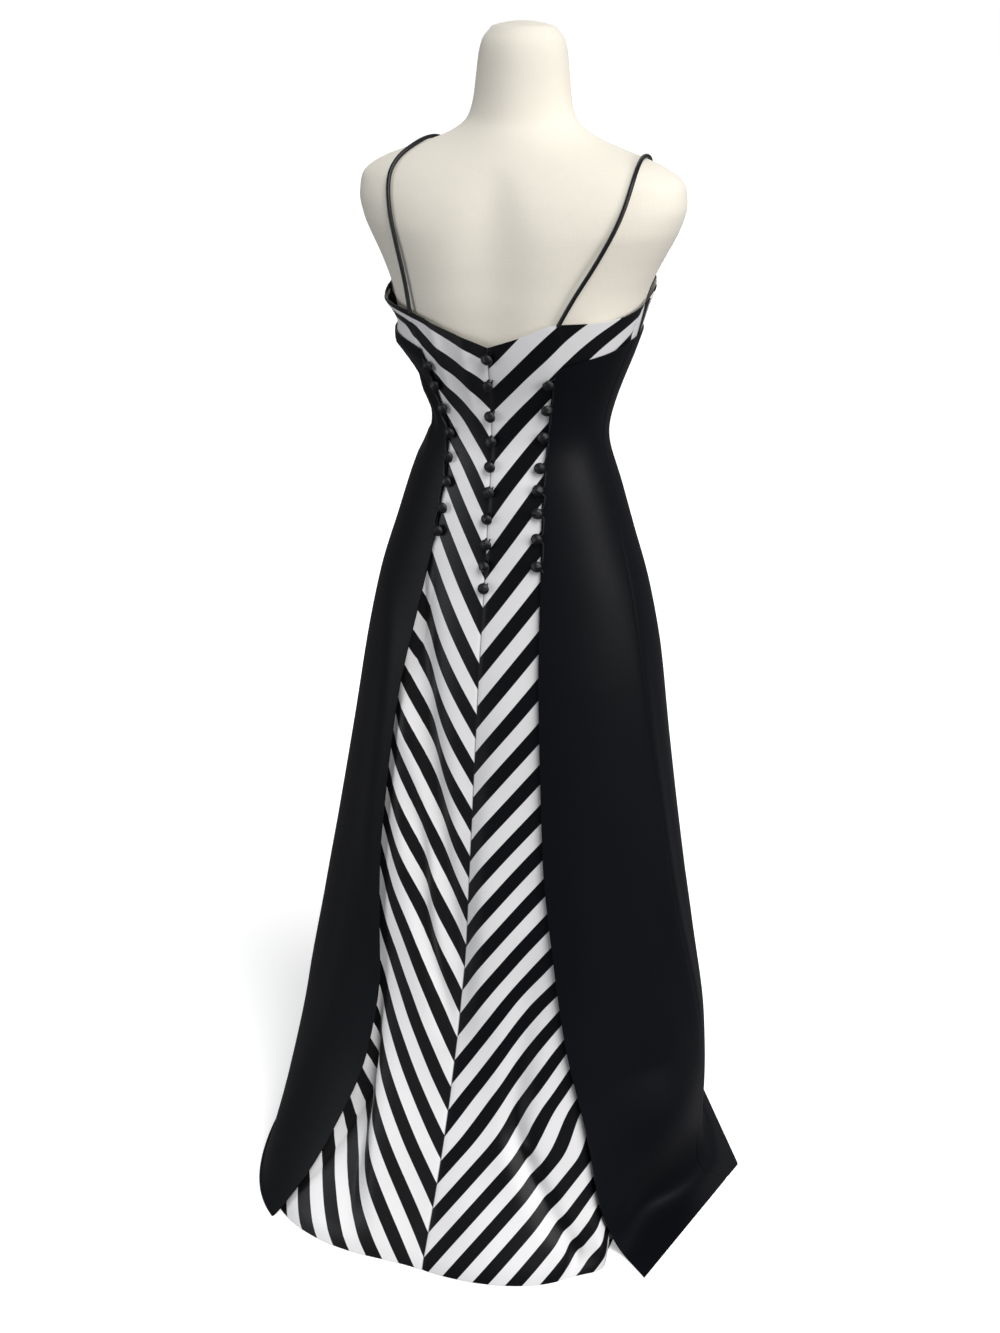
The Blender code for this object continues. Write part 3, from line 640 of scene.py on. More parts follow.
# Button loops: offsets from the middle of the button, up and across
CENTRE_LOOP = (
    (0.0060, 0.0047), (0.0048, 0.0045), (0.0030, 0.0038), (-0.0012, 0.0032),
    (-0.0032, 0.0012), (-0.0032, -0.0014), (-0.0012, -0.0032), (0.0026, -0.0030),
    (0.0048, -0.0014), (0.0060, 0.0004),
)
SIDE_LOOP = (
    (0.0080, 0.0060), (0.0046, 0.0044), (0.0035, 0.0008), (0.0028, -0.0025),
    (0.0000, -0.0037), (-0.0028, -0.0025), (-0.0035, 0.0008), (-0.0046, 0.0044),
    (-0.0080, 0.0060),
)
SIDE_LOOP_HEIGHT = 0.0042
LOOP_POINTS_BETWEEN = 4

# Stripes, in shares of their spacing: how far the pattern is moved on, and half
# the width of a pale stripe. Then how softly the painted shade on the wearer's right half fades in.
STRIPE_PHASE = 0.75
STRIPE_HALF_WIDTH = 0.25
HALVES_BLEND = 0.0004

# Tones that come on top of the cloth's own colours
STRIPE_SPECKS = (0.16, 0.15, 0.16, 1.0)
BLACK_SPECKS = (0.30, 0.30, 0.32, 1.0)
SPECK_FINENESS = 55.0
SPECK_RADII = (0.03, 0.05)
SPECK_CHOICE = (0.955, 0.96)
SEAM_SHADE = (0.02, 0.02, 0.022, 1.0)
SEAM_SHADE_REACH = (0.0002, 0.0011)
SEAM_SHADE_STRENGTH = 0.55
WHITE = (1.0, 1.0, 1.0, 1.0)

# Threads: which of their heights dull the cloth, and how far they stand out
THREAD_HEIGHTS = (0.3, 0.8)
THREAD_RELIEF = 0.0002
COVER_RELIEF = 0.0003

# Studio
FLOOR_SIZE = 90.0
LIGHT_TARGET = (0.0, 0.0, 0.75)
HIGH_LIGHT_PLACE = (229.0, 50.0, 3.0)
HIGH_LIGHT_WIDTH = 32.0
AREA_LIGHTS = {
    # azimuth, elevation and distance, width, colour
    "left_light": ((130.0, 6.0, 3.0), 1.5, (0.94, 0.97, 1.0)),
    "right_light": ((255.0, 20.0, 2.5), 1.2, (1.0, 0.98, 0.96)),
    "front_light": ((20.0, 35.0, 3.6), 2.4, (1.0, 1.0, 1.0)),
}
CAMERA_PLACE = (-0.6654, 1.9671, 1.5727)
CAMERA_AZIMUTH = 199.136
CAMERA_ELEVATION = 22.030
CAMERA_ROLL = 0.867
CAMERA_LENS = 45.91
CAMERA_SENSOR = 36.0


# ---------------------------------------------------------------- tables


def read(rows, at, column=1):
    """Read one column of a table, by a smooth curve that doesn't overshoot."""
    places = np.array([row[0] for row in rows])
    values = np.array([row[column] for row in rows])
    step = np.diff(places)
    slope = np.diff(values) / step
    before, after = slope[:-1], slope[1:]
    both = np.where(before * after > 0.0, before + after, 1.0)
    inner = np.where(before * after > 0.0, 2.0 * before * after / both, 0.0)
    tangent = np.concatenate([slope[:1], inner, slope[-1:]])
    at = np.clip(at, places[0], places[-1])
    start = np.clip(np.searchsorted(places, at) - 1, 0, len(step) - 1)
    t = (at - places[start]) / step[start]
    return (((2 * t - 3) * t * t + 1) * values[start]
            + ((t - 2) * t + 1) * t * tangent[start] * step[start]
            + (3 - 2 * t) * t * t * values[start + 1]
            + (t - 1) * t * t * tangent[start + 1] * step[start])


def read_soft(rows, at, column=1, softness=HEIGHT_SOFTNESS):
    """The same reading, averaged over a short stretch so that it bends evenly."""
    share = 1.0 / len(SOFT_OFFSETS)
    return sum(share * read(rows, at + offset * softness, column) for offset in SOFT_OFFSETS)


def bell(distance, spread):
    """A soft bump, 1 at no distance."""
    return np.exp(-0.5 * (distance / spread) ** 2)


def wrapped(angle):
    """The same angle between -180 and 180."""
    return (angle + 180.0) % 360.0 - 180.0


def polar(angle, radius, height):
    """Points at an angle about the axis, as an array with x, y and z last."""
    turn, radius, height = np.broadcast_arrays(np.radians(angle), radius, height)
    return np.stack([-radius * np.sin(turn), radius * np.cos(turn), height], axis=-1)


def mirrored(table):
    """A seam table for the wearer's left side."""
    return tuple((height, -angle) for height, angle in table)


def kept_within(table, angle):
    """Angles held between the first and the last of a table."""
    return np.clip(angle, table[0][0], table[-1][0])


def straight_seam(angle):
    """A seam that keeps one angle from floor to neck."""
    return ((0.0, angle), (2.0, angle))


def half(table, side):
    """The rows of an angle table on the wearer's right (1) or left (-1)."""
    return tuple(row for row in table if row[0] * side >= 0.0)


# ---------------------------------------------------------------- surfaces


def section_radius(table, angle, height, softness=HEIGHT_SOFTNESS):
    """Distance of a section's outline from the axis, at an angle."""
    side, back, front, square = (read_soft(table, height, column, softness)
                                 for column in (1, 2, 3, 4))
    across = np.abs(np.sin(np.radians(angle))) / side
    along = np.cos(np.radians(angle))
    along = np.abs(along) / np.where(along > 0.0, back, front)
    return (across ** square + along ** square) ** (-1.0 / square)


def bust(angle, height, reach):
    """How far the two bust cups stand out."""
    rise = np.where(height > BUST_HEIGHT, BUST_RISE, BUST_FALL)
    return reach * bell(np.abs(angle) - BUST_ANGLE, BUST_SPREAD) * bell(height - BUST_HEIGHT, rise)


def left_side(angle, height):
    """How far the wearer's left side is drawn in, at an angle and height."""
    away = wrapped(angle - LEFT_SIDE_ANGLE)
    spread = np.where(away < 0.0, *LEFT_SIDE_SPREADS)
    return read(LEFT_SIDE, height) * bell(away, spread)


def sheath_radius(angle, height):
    """Distance of the sheath's outer face from the axis, before its folds."""
    angle = wrapped(angle)
    radius = section_radius(SHEATH, angle, height) + bust(angle, height, BUST_REACH)
    for middle, spread, reach, top in FLARES:
        fall = np.clip(1.0 - height / top, 0.0, 1.0) ** 2
        radius = radius + reach * bell(angle - middle, spread) * fall
    return radius - left_side(angle, height)


def form_radius(angle, height):
    """Distance of the dress form's surface from the axis."""
    radius = section_radius(FORM, angle, height, FORM_SOFTNESS)
    radius = radius + bust(wrapped(angle), height, FORM_BUST_REACH)
    radius = radius - LEFT_SIDE_FORM_SHARE * np.maximum(left_side(angle, height), 0.0)
    away = np.radians(wrapped(angle)) * radius
    return radius - read(SPINE_HOLLOW, height) * bell(away, read(SPINE_HOLLOW, height, 2))


def folds_at(folds, angle, height, radius):
    """How far a set of folds lifts the cloth at each angle and height."""
    lift = np.zeros(np.shape(angle))
    for rows in folds.values():
        away = np.radians(wrapped(angle - read(rows, height))) * radius
        width = np.where(away < 0.0, read(rows, height, 3), read(rows, height, 4))
        inside = (height >= rows[0][0] - HEM_CLEARANCE) & (height <= rows[-1][0])
        lift += np.where(inside, read(rows, height, 2) * bell(away, width), 0.0)
    return lift


def over_radius(angle, height):
    """Distance of the black cloth's outer face from the axis, before its folds."""
    return sheath_radius(angle, height) + read_soft(OVER_GAP, height) + BLACK_WALL


def covered(angle, height):
    """How far the black cloth covers a place: 1 well under it, 0 where the back is open."""
    right = read(OPEN_EDGE_RIGHT, height)
    left = read(OPEN_EDGE_LEFT, height)
    angle = wrapped(angle)
    inside = np.minimum(angle - left, right - angle)
    return np.clip(-inside / OPEN_EDGE_FADE, 0.0, 1.0)


def panel_angles(low_seam, high_seam, across, height):
    """Angles of a panel's columns at each height, half a seam gap inside its seams."""
    low = read_soft(low_seam, height)
    high = read_soft(high_seam, height)
    shift = np.degrees(0.5 * SEAM_GAP / sheath_radius(0.5 * (low + high), height))
    return low + shift + (high - low - 2.0 * shift) * across


def seam_dip(across, width, depth):
    """How far a panel's two sewn edges turn in towards the seam."""
    near = np.minimum(across, 1.0 - across) * width
    return -depth * bell(near, SEAM_WIDTH)


def sheath_points(low_seam, high_seam, grid, neckline, depth):
    """Outer face of a striped panel, row by row from the hem to the neckline."""
    columns, rows = grid
    across = np.linspace(0.0, 1.0, columns + 1)[None, :]
    share = np.linspace(0.0, 1.0, rows + 1)[:, None]
    top = np.full((1, columns + 1), neckline[0][1])
    for _ in range(TOP_EDGE_STEPS):
        top = read(neckline, kept_within(neckline, panel_angles(low_seam, high_seam, across, top)))
    height = HEM_CLEARANCE + (top - HEM_CLEARANCE) * share
    angle = panel_angles(low_seam, high_seam, across, height)
    radius = sheath_radius(angle, height)
    under = covered(angle, height)
    lift = folds_at(SHEATH_FOLDS, angle, height, radius) * (1.0 - under)
    lift += np.minimum(folds_at(BLACK_FOLDS, angle, height, radius), 0.0) * under
    width = np.radians(np.abs(angle[:, -1:] - angle[:, :1])) * radius
    lift += seam_dip(across, width, depth)
    inside = form_radius(angle, height) + SHEATH_WALL + FORM_CLEARANCE
    return polar(angle, np.maximum(radius + lift, np.minimum(inside, radius)), height)


def hem_edge(angle, radius):
    """Distance from the axis of the black hem's edge on the floor."""
    angle = wrapped(angle)
    plain = radius + read(HEM_REACH, angle)
    spread = np.full(np.shape(angle), OUTSIDE_RADIUS)
    for facing, distance in HEM_STRETCHES:
        turn = np.radians(np.clip(angle - facing, -HEM_STRETCH_LIMIT, HEM_STRETCH_LIMIT))
        spread = np.minimum(spread, distance / np.cos(turn))
    first, last = HEM_STRETCH_ENDS
    return np.where((angle > first) & (angle < last), np.maximum(plain, spread), plain)


def rounded_corner(points, corner):
    """Round the bend where the cloth leaves the floor, row by row."""
    first = max(1, corner - FLOOR_ROWS + 2)
    last = corner + CORNER_ROWS
    strength = bell(np.arange(first, last) - corner, CORNER_SPREAD)[:, None, None]
    for _ in range(CORNER_ROUNDINGS):
        middle = 0.5 * (points[first - 1:last - 1] + points[first + 1:last + 1])
        points[first:last] += strength * 0.5 * (middle - points[first:last])
    points[..., 2] = np.maximum(points[..., 2], FLOOR_LAYER_HEIGHT)
    return points


def over_points(low_seam, high_seam, grid, depth, open_low, open_high):
    """Outer face of a black panel, from its edge on the floor up to its top."""
    columns, rows = grid
    across = np.linspace(0.0, 1.0, columns + 1)[None, :]
    top = np.full((1, columns + 1), BLACK_TOP[0][1])
    for _ in range(TOP_EDGE_STEPS):
        top = read(BLACK_TOP, wrapped(panel_angles(low_seam, high_seam, across, top)))
    share = np.linspace(0.0, 1.0, rows + 1)[:, None]
    height = FLOOR_FOLD_HEIGHT + (top - FLOOR_FOLD_HEIGHT) * share
    angle = panel_angles(low_seam, high_seam, across, height)
    radius = over_radius(angle, height)
    radius = radius + folds_at(BLACK_FOLDS, angle, height, radius)
    wall = polar(angle, radius, height)

    out = np.linspace(1.0, 0.0, FLOOR_ROWS, endpoint=False)[:, None]
    floor_angle = panel_angles(low_seam, high_seam, across, np.zeros((1, 1)))
    floor_radius = over_radius(floor_angle, np.zeros((1, 1)))
    floor_radius = floor_radius + (hem_edge(floor_angle, floor_radius) - floor_radius) * out
    floor_angle = np.broadcast_to(floor_angle, floor_radius.shape)
    layer = polar(floor_angle, floor_radius, np.full(floor_radius.shape, FLOOR_LAYER_HEIGHT))
    points = rounded_corner(np.concatenate([layer, wall]), FLOOR_ROWS)

    width = np.radians(np.abs(angle[:1, -1:] - angle[:1, :1])) * radius[:1].mean()
    sewn = np.ones(columns + 1)[None, :]
    sewn = sewn * np.where(open_low & (across < 0.5), 0.0, 1.0)
    sewn = sewn * np.where(open_high & (across > 0.5), 0.0, 1.0)
    inward = -points * np.array([1.0, 1.0, 0.0])
    inward /= np.linalg.norm(inward, axis=-1, keepdims=True)
    dip = seam_dip(across, width, depth) * sewn
    return points - inward * dip[..., None]


# ---------------------------------------------------------------- meshes


def only(item):
    """Select one object and nothing else."""
    bpy.ops.object.select_all(action="DESELECT")
    item.select_set(True)
    bpy.context.view_layer.objects.active = item


def apply_modifiers(item):
    """Apply an object's modifiers in their order."""
    only(item)
    for name in [modifier.name for modifier in item.modifiers]:
        bpy.ops.object.modifier_apply(modifier=name)


def linked(name, data):
    """A new object at the origin for a mesh, a curve, a light or a camera."""
    item = bpy.data.objects.new(name, data)
    bpy.context.scene.collection.objects.link(item)
    return item


def covered_with(item, material):
    """Give an object one material and no other."""
    item.data.materials.clear()
    item.data.materials.append(material)


def welded(item, distance):
    """Merge the points that meet and turn every face outwards."""
    only(item)
    bpy.ops.object.mode_set(mode="EDIT")
    bpy.ops.mesh.select_all(action="SELECT")
    bpy.ops.mesh.remove_doubles(threshold=distance)
    bpy.ops.mesh.normals_make_consistent(inside=False)
    bpy.ops.object.mode_set(mode="OBJECT")


def smoothed(item, angle):
    """Shade an object smooth, but for its bends sharper than an angle."""
    only(item)
    bpy.ops.object.shade_smooth_by_angle(angle=math.radians(angle))


def grid_object(name, points, **maps):
    """A sheet of quads through rows and columns of points, with its UV maps."""
    rows, columns = points.shape[:2]
    corner = np.arange(rows * columns).reshape(rows, columns)
    faces = np.stack([corner[:-1, :-1], corner[:-1, 1:], corner[1:, 1:], corner[1:, :-1]], axis=-1)
    faces = faces.reshape(-1, 4)
    data = bpy.data.meshes.new(name)
    data.from_pydata(points.reshape(-1, 3).tolist(), [], faces.tolist())
    for label, places in maps.items():
        layer = data.uv_layers.new(name=label)
        layer.data.foreach_set("uv", places.reshape(-1, 2)[faces.ravel()].ravel())
    data.shade_smooth()
    return linked(name, data)


def thinned(count):
    """Every few rows of a grid, and always the last."""
    kept = np.arange(0, count, CUT_STEP)
    return kept if kept[-1] == count - 1 else np.append(kept, count - 1)


def spread_back(values, kept, count):
    """Fill in the rows that thinning left out."""
    at = np.arange(count)
    start = np.clip(np.searchsorted(kept, at, side="right") - 1, 0, len(kept) - 2)
    share = ((at - kept[start]) / (kept[start + 1] - kept[start]))[:, None, None]
    return values[start] * (1.0 - share) + values[start + 1] * share


def flat_cut(points, seam):
    """The panel's cut: its points laid flat in metres, with one seam straight and upright."""
    rows, columns = points.shape[:2]
    kept_rows, kept_columns = thinned(rows), thinned(columns)
    coarse = points[np.ix_(kept_rows, kept_columns)]
    trial = grid_object("flat_trial", coarse, cut=np.zeros(coarse.shape[:2] + (2,)))
    only(trial)
    bpy.ops.object.mode_set(mode="EDIT")
    bpy.ops.mesh.select_all(action="SELECT")
    bpy.ops.uv.unwrap(method="MINIMUM_STRETCH", iterations=CUT_ITERATIONS, fill_holes=False,
                      correct_aspect=False, margin=0.0)
    bpy.ops.object.mode_set(mode="OBJECT")
    data = trial.data
    corners = np.zeros(len(data.loops), dtype=np.int32)
    data.loops.foreach_get("vertex_index", corners)
    read_back = np.zeros(len(data.loops) * 2, dtype=np.float32)
    data.uv_layers["cut"].data.foreach_get("uv", read_back)
    flat = np.zeros((len(data.vertices), 2))
    flat[corners] = read_back.reshape(-1, 2)
    flat = flat.reshape(coarse.shape[:2] + (2,))
    bpy.data.objects.remove(trial)
    bpy.data.meshes.remove(data)

    solid = np.linalg.norm(np.diff(coarse, axis=0), axis=-1).sum()
    flat *= solid / np.linalg.norm(np.diff(flat, axis=0), axis=-1).sum()
    right = flat[:-1, 1:] - flat[:-1, :-1]
    up = flat[1:, :-1] - flat[:-1, :-1]
    if (right[..., 0] * up[..., 1] - right[..., 1] * up[..., 0]).sum() < 0.0:
        flat[..., 0] *= -1.0
    column = 0 if seam == "low" else -1
    lean = flat[-1, column] - flat[0, column]
    turn = math.atan2(lean[0], lean[1])
    cos, sin = math.cos(turn), math.sin(turn)
    flat = flat @ np.array([[cos, sin], [-sin, cos]])

    flat = spread_back(flat, kept_rows, rows)
    flat = spread_back(flat.transpose(1, 0, 2), kept_columns, columns).transpose(1, 0, 2)
    steps = np.linalg.norm(np.diff(points[:, column], axis=0), axis=-1)
    along = np.concatenate([[0.0], np.cumsum(steps)])
    flat[..., 0] -= flat[:, column, 0][:, None]
    flat[..., 1] += (along - flat[:, column, 1])[:, None]
    return flat


def stripe_map(flat, run, held):
    """Each point's distance from the seam, and its place in the run of the stripes.

    Where the top edge is held in, the stripes far from the seam run along it.
    """
    out, up = np.abs(flat[..., 0]), flat[..., 1]
    reach = out
    if held:
        low, high = EDGE_REACH_HEIGHTS
        share = np.clip((up - low) / (high - low), 0.0, 1.0)
        reach = out + (read(EDGE_REACH, out) - out) * share
    place = up - read(run, up) - (read(run, up, 2) + read(run, up, 3) * reach) * reach
    return np.stack([out, place], axis=-1)


def edge_tuck(out, drop):
    """How far the stripes are pushed together at a distance from the seam and below the neckline."""
    start, end = read(EDGE_TUCK, out, 2), read(EDGE_TUCK, out, 3)
    return read(EDGE_TUCK, out) * np.clip((end - drop) / (end - start), 0.0, 1.0)


def cloth_panel(name, points, wall, material, **maps):
    """A panel of cloth: its outer face, thickened inwards."""
    item = grid_object(name, points, **maps)
    covered_with(item, material)
    thickness = item.modifiers.new("wall", "SOLIDIFY")
    thickness.thickness = wall
    thickness.offset = -1.0
    thickness.use_rim = True
    apply_modifiers(item)
    smoothed(item, PANEL_SHADING)
    return item


def tube(name, points, radius, material, sides):
    """A round cord through a list of points, as a closed mesh."""
    data = bpy.data.curves.new(name, "CURVE")
    data.dimensions = "3D"
    data.bevel_depth = radius
    data.bevel_resolution = sides
    data.use_fill_caps = True
    spline = data.splines.new("POLY")
    spline.points.add(len(points) - 1)
    for knot, point in zip(spline.points, points):
        knot.co = (*point, 1.0)
    item = linked(name, data)
    only(item)
    bpy.ops.object.convert(target="MESH")
    welded(item, CORD_WELD)
    smoothed(item, CORD_SHADING)
    covered_with(item, material)
    return item


def smooth_path(points, count):
    """A smooth curve through a few points, cut into even steps of its parameter."""
    path = []
    last = len(points) - 1
    for index in range(count + 1):
        place = last * index / count
        start = min(int(place), last - 1)
        t = place - start
        here, after = points[start], points[start + 1]
        before = points[start - 1] if start > 0 else here * 2.0 - after
        beyond = points[start + 2] if start + 2 <= last else after * 2.0 - here
        path.append(0.5 * (2.0 * here + (after - before) * t
                           + (2.0 * before - 5.0 * here + 4.0 * after - beyond) * t * t
                           + (3.0 * here - before - 3.0 * after + beyond) * t * t * t))
    return path


def surface_tree(items):
    """One search tree over the faces of several finished meshes."""
    points, faces = [], []
    for item in items:
        first = len(points)
        points.extend(vertex.co.copy() for vertex in item.data.vertices)
        faces.extend([first + index for index in face.vertices] for face in item.data.polygons)
    return BVHTree.FromPolygons(points, faces)


def seat(tree, angle, height):
    """Outermost point of the cloth at an angle and height, and its normal."""
    start = Vector(polar(angle, OUTSIDE_RADIUS, height))
    inward = Vector((-start.x, -start.y, 0.0)).normalized()
    spot, normal, _, _ = tree.ray_cast(start, inward)
    if spot is None:
        raise RuntimeError(f"no cloth at angle {angle:.1f} and height {height:.3f}")
    return spot, normal


def finish_piece(item, slot, *nodes):
    """Ride on the body and stand for CAD nodes by hiding them. The slot is not used."""
    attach(item, BODY)
    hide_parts(*nodes)
    return item


# ---------------------------------------------------------------- materials


def feed(tree, socket, value):
    """Link a socket to another one, or give it a plain value."""
    if isinstance(value, bpy.types.NodeSocket):
        tree.links.new(value, socket)
    else:
        socket.default_value = value


def node(tree, kind, **values):
    """A shader node with its settings, and its inputs by name or as in0, in1 and so on."""
    item = tree.nodes.new(kind)
    for name, value in values.items():
        if hasattr(item, name):
            setattr(item, name, value)
        else:
            feed(tree, item.inputs[int(name[2:]) if name.startswith("in") else name], value)
    return item


def set_inputs(tree, item, **values):
    """Link or set a node's inputs. An underscore in a name stands for a space."""
    for name, value in values.items():
        feed(tree, item.inputs[name.replace("_", " ")], value)


def arithmetic(tree, operation, first, second=0.0):
    """One Math node's result."""
    return node(tree, "ShaderNodeMath", operation=operation, in0=first, in1=second).outputs[0]


def blended(tree, share, first, second):
    """Two colours mixed by a share."""
    return node(tree, "ShaderNodeMix", data_type="RGBA", in0=share, in6=first, in7=second).outputs[2]


def ranged(tree, value, low, high, to_low, to_high):
    """A value mapped from one range to another, held at both ends."""
    return node(tree, "ShaderNodeMapRange", in0=value, in1=low, in2=high,
                in3=to_low, in4=to_high).outputs[0]


def start_group(name, inputs, outputs):
    """An empty node group with named sockets, and its two end nodes."""
    tree = bpy.data.node_groups.new(name, "ShaderNodeTree")
    for label, kind, default in inputs:
        socket = tree.interface.new_socket(label, in_out="INPUT", socket_type=kind)
        if default is not None:
            socket.default_value = default
    for label, kind in outputs:
        tree.interface.new_socket(label, in_out="OUTPUT", socket_type=kind)
    return tree, tree.nodes.new("NodeGroupInput"), tree.nodes.new("NodeGroupOutput")


def thread_group():
    """Threads of a woven cloth: long thin streaks both ways along its cut."""
    if "cloth_threads" in bpy.data.node_groups:
        return bpy.data.node_groups["cloth_threads"]
    tree, source, result = start_group(
        "cloth_threads",
        (("Cut", "NodeSocketVector", None), ("Warp Fineness", "NodeSocketFloat", 1500.0),
         ("Weft Fineness", "NodeSocketFloat", 1500.0), ("Thread Length", "NodeSocketFloat", 0.12)),
        (("Height", "NodeSocketFloat"),))
    parts = node(tree, "ShaderNodeSeparateXYZ", Vector=source.outputs["Cut"])
    streaks = []
    for fineness, across, along in (("Warp Fineness", 0, 1), ("Weft Fineness", 1, 0)):
        scale = source.outputs[fineness]
        thin = arithmetic(tree, "MULTIPLY", parts.outputs[across], scale)
        long = arithmetic(tree, "MULTIPLY", parts.outputs[along], scale)
        long = arithmetic(tree, "MULTIPLY", long, source.outputs["Thread Length"])
        place = node(tree, "ShaderNodeCombineXYZ", X=thin, Y=long)
        noise = node(tree, "ShaderNodeTexNoise", Vector=place.outputs[0], Scale=1.0, Detail=1.0)
        streaks.append(noise.outputs[0])
    tree.links.new(arithmetic(tree, "MAXIMUM", *streaks), result.inputs["Height"])
    return tree


def handling_group():
    """Soft uneven tone of cloth that has been worn, pressed and stored."""
    if "cloth_handling" in bpy.data.node_groups:
        return bpy.data.node_groups["cloth_handling"]
    tree, source, result = start_group(
        "cloth_handling",
        (("Place", "NodeSocketVector", None), ("Patch Size", "NodeSocketFloat", 9.0)),
        (("Tone", "NodeSocketFloat"), ("Specks", "NodeSocketFloat")))
    broad = node(tree, "ShaderNodeTexNoise", Vector=source.outputs["Place"],
                 Scale=source.outputs["Patch Size"], Detail=3.0)
    tree.links.new(broad.outputs[0], result.inputs["Tone"])
    dots = node(tree, "ShaderNodeTexVoronoi", Vector=source.outputs["Place"],
                Scale=SPECK_FINENESS)
    near = ranged(tree, dots.outputs["Distance"], *SPECK_RADII, 1.0, 0.0)
    pick = node(tree, "ShaderNodeSeparateColor", Color=dots.outputs["Color"])
    chosen = ranged(tree, pick.outputs[0], *SPECK_CHOICE, 0.0, 1.0)
    tree.links.new(arithmetic(tree, "MULTIPLY", near, chosen), result.inputs["Specks"])
    return tree


def use_group(tree, group, **values):
    """Place a node group in a material with its own values."""
    item = tree.nodes.new("ShaderNodeGroup")
    item.node_tree = group
    set_inputs(tree, item, **values)
    return item


def start_material(name):
    """A plain Principled material, with its tree and its shader."""
    material = bpy.data.materials.new(name)
    material.use_nodes = True
    return material, material.node_tree, material.node_tree.nodes["Principled BSDF"]


def object_place(tree):
    """Where a point is on the gown."""
    return node(tree, "ShaderNodeTexCoord").outputs["Object"]


def laid_flat(tree, name):
    """Where a point is on one of a panel's UV maps."""
    return node(tree, "ShaderNodeUVMap", uv_map=name).outputs[0]


def woven(tree, along, warp, weft, thread_length):
    """Height of the threads of a cloth, along its cut or along the piece itself."""
    return use_group(tree, thread_group(), Cut=along, Warp_Fineness=warp, Weft_Fineness=weft,
                     Thread_Length=thread_length).outputs["Height"]


def worn(tree, place, patch_size):
    """Soft tone and pale specks of handled cloth."""
    return use_group(tree, handling_group(), Place=place, Patch_Size=patch_size).outputs


def toned(tree, colour, tone, amount):
    """A colour made a little lighter and darker by a tone around one half."""
    factor = ranged(tree, tone, 0.25, 0.75, 1.0 - amount, 1.0 + amount)
    return node(tree, "ShaderNodeVectorMath", operation="SCALE", in0=colour, Scale=factor).outputs[0]


def thread_sheen(tree, threads, smooth, dull):
    """Roughness that goes from smooth to dull with the height of the threads."""
    return ranged(tree, threads, *THREAD_HEIGHTS, smooth, dull)


def specked(tree, colour, specks, amount, tint):
    """A colour with fine specks of another."""
    return blended(tree, arithmetic(tree, "MULTIPLY", specks, amount), colour, tint)


def bumped(tree, shader, height, strength, distance=THREAD_RELIEF):
    """A fine relief on the shader's normal."""
    bump = node(tree, "ShaderNodeBump", Height=height, Strength=strength, Distance=distance)
    tree.links.new(bump.outputs[0], shader.inputs["Normal"])


def striped_material(cloth):
    """Satin woven in two equal stripes, cut on the bias so that they meet in a V.

    The wearer's right half takes darker, cooler copies of both stripe colours: painted shade.
    """
    material, tree, shader = start_material("sheath_satin")
    place = object_place(tree)
    threads = woven(tree, laid_flat(tree, "cut"), warp=2600.0, weft=1400.0, thread_length=0.10)
    wear = worn(tree, place, patch_size=9.0)
    parts = node(tree, "ShaderNodeSeparateXYZ", Vector=laid_flat(tree, "stripes"))
    turns = arithmetic(tree, "DIVIDE", parts.outputs[1], cloth.stripe_spacing)
    part = arithmetic(tree, "FRACT", arithmetic(tree, "ADD", turns, STRIPE_PHASE))
    swing = arithmetic(tree, "ABSOLUTE", arithmetic(tree, "SUBTRACT", part, 0.5))
    edge = cloth.stripe_blur / cloth.stripe_spacing
    mask = ranged(tree, swing, STRIPE_HALF_WIDTH - edge, STRIPE_HALF_WIDTH + edge, 1.0, 0.0)
    across = node(tree, "ShaderNodeSeparateXYZ", Vector=place).outputs[0]
    # Painted shade: where object X is below nought, on the wearer's right, both stripes take darker,
    # cooler copies of their colours.
    left_half_unshaded = ranged(tree, across, -HALVES_BLEND, HALVES_BLEND, 0.0, 1.0)
    white = blended(tree, left_half_unshaded, tuple(cloth.white_painted_shade_colour), tuple(cloth.white_colour))
    white = toned(tree, white, wear["Tone"], 0.06)
    dark = blended(tree, left_half_unshaded, tuple(cloth.dark_painted_shade_colour), tuple(cloth.dark_stripe_colour))
    dark = toned(tree, dark, wear["Tone"], 0.12)
    colour = specked(tree, blended(tree, mask, dark, white), wear["Specks"], 0.35, STRIPE_SPECKS)
    near_seam = ranged(tree, parts.outputs[0], *SEAM_SHADE_REACH, SEAM_SHADE_STRENGTH, 0.0)
    colour = blended(tree, near_seam, colour, SEAM_SHADE)
    set_inputs(tree, shader, Base_Color=colour, Roughness=thread_sheen(tree, threads, 0.34, 0.50),
               Specular_IOR_Level=0.22, Sheen_Weight=0.02, Sheen_Roughness=0.45)
    bumped(tree, shader, threads, strength=0.20)
    return material


def black_material(cloth):
    """Heavy black satin with a dull lustre."""
    material, tree, shader = start_material("overskirt_satin")
    threads = woven(tree, laid_flat(tree, "cut"), warp=2400.0, weft=1500.0, thread_length=0.12)
    wear = worn(tree, object_place(tree), patch_size=7.0)
    colour = toned(tree, tuple(cloth.black_colour)[:3], wear["Tone"], 0.15)
    colour = specked(tree, colour, wear["Specks"], 0.10, BLACK_SPECKS)
    set_inputs(tree, shader, Base_Color=colour, Roughness=thread_sheen(tree, threads, 0.40, 0.54),
               Specular_IOR_Level=0.12, Sheen_Weight=0.01, Sheen_Roughness=0.50)
    bumped(tree, shader, threads, strength=0.18)
    return material


def trim_material(cloth):
    """The same black satin on buttons, loops and straps, too small to show its cut."""
    material, tree, shader = start_material("trim_satin")
    place = object_place(tree)
    threads = woven(tree, place, warp=2200.0, weft=2200.0, thread_length=0.15)
    wear = worn(tree, place, patch_size=60.0)
    colour = toned(tree, tuple(cloth.black_colour)[:3], wear["Tone"], 0.25)
    set_inputs(tree, shader, Base_Color=colour, Roughness=thread_sheen(tree, threads, 0.40, 0.54),
               Specular_IOR_Level=0.38)
    bumped(tree, shader, threads, strength=0.25)
    return material


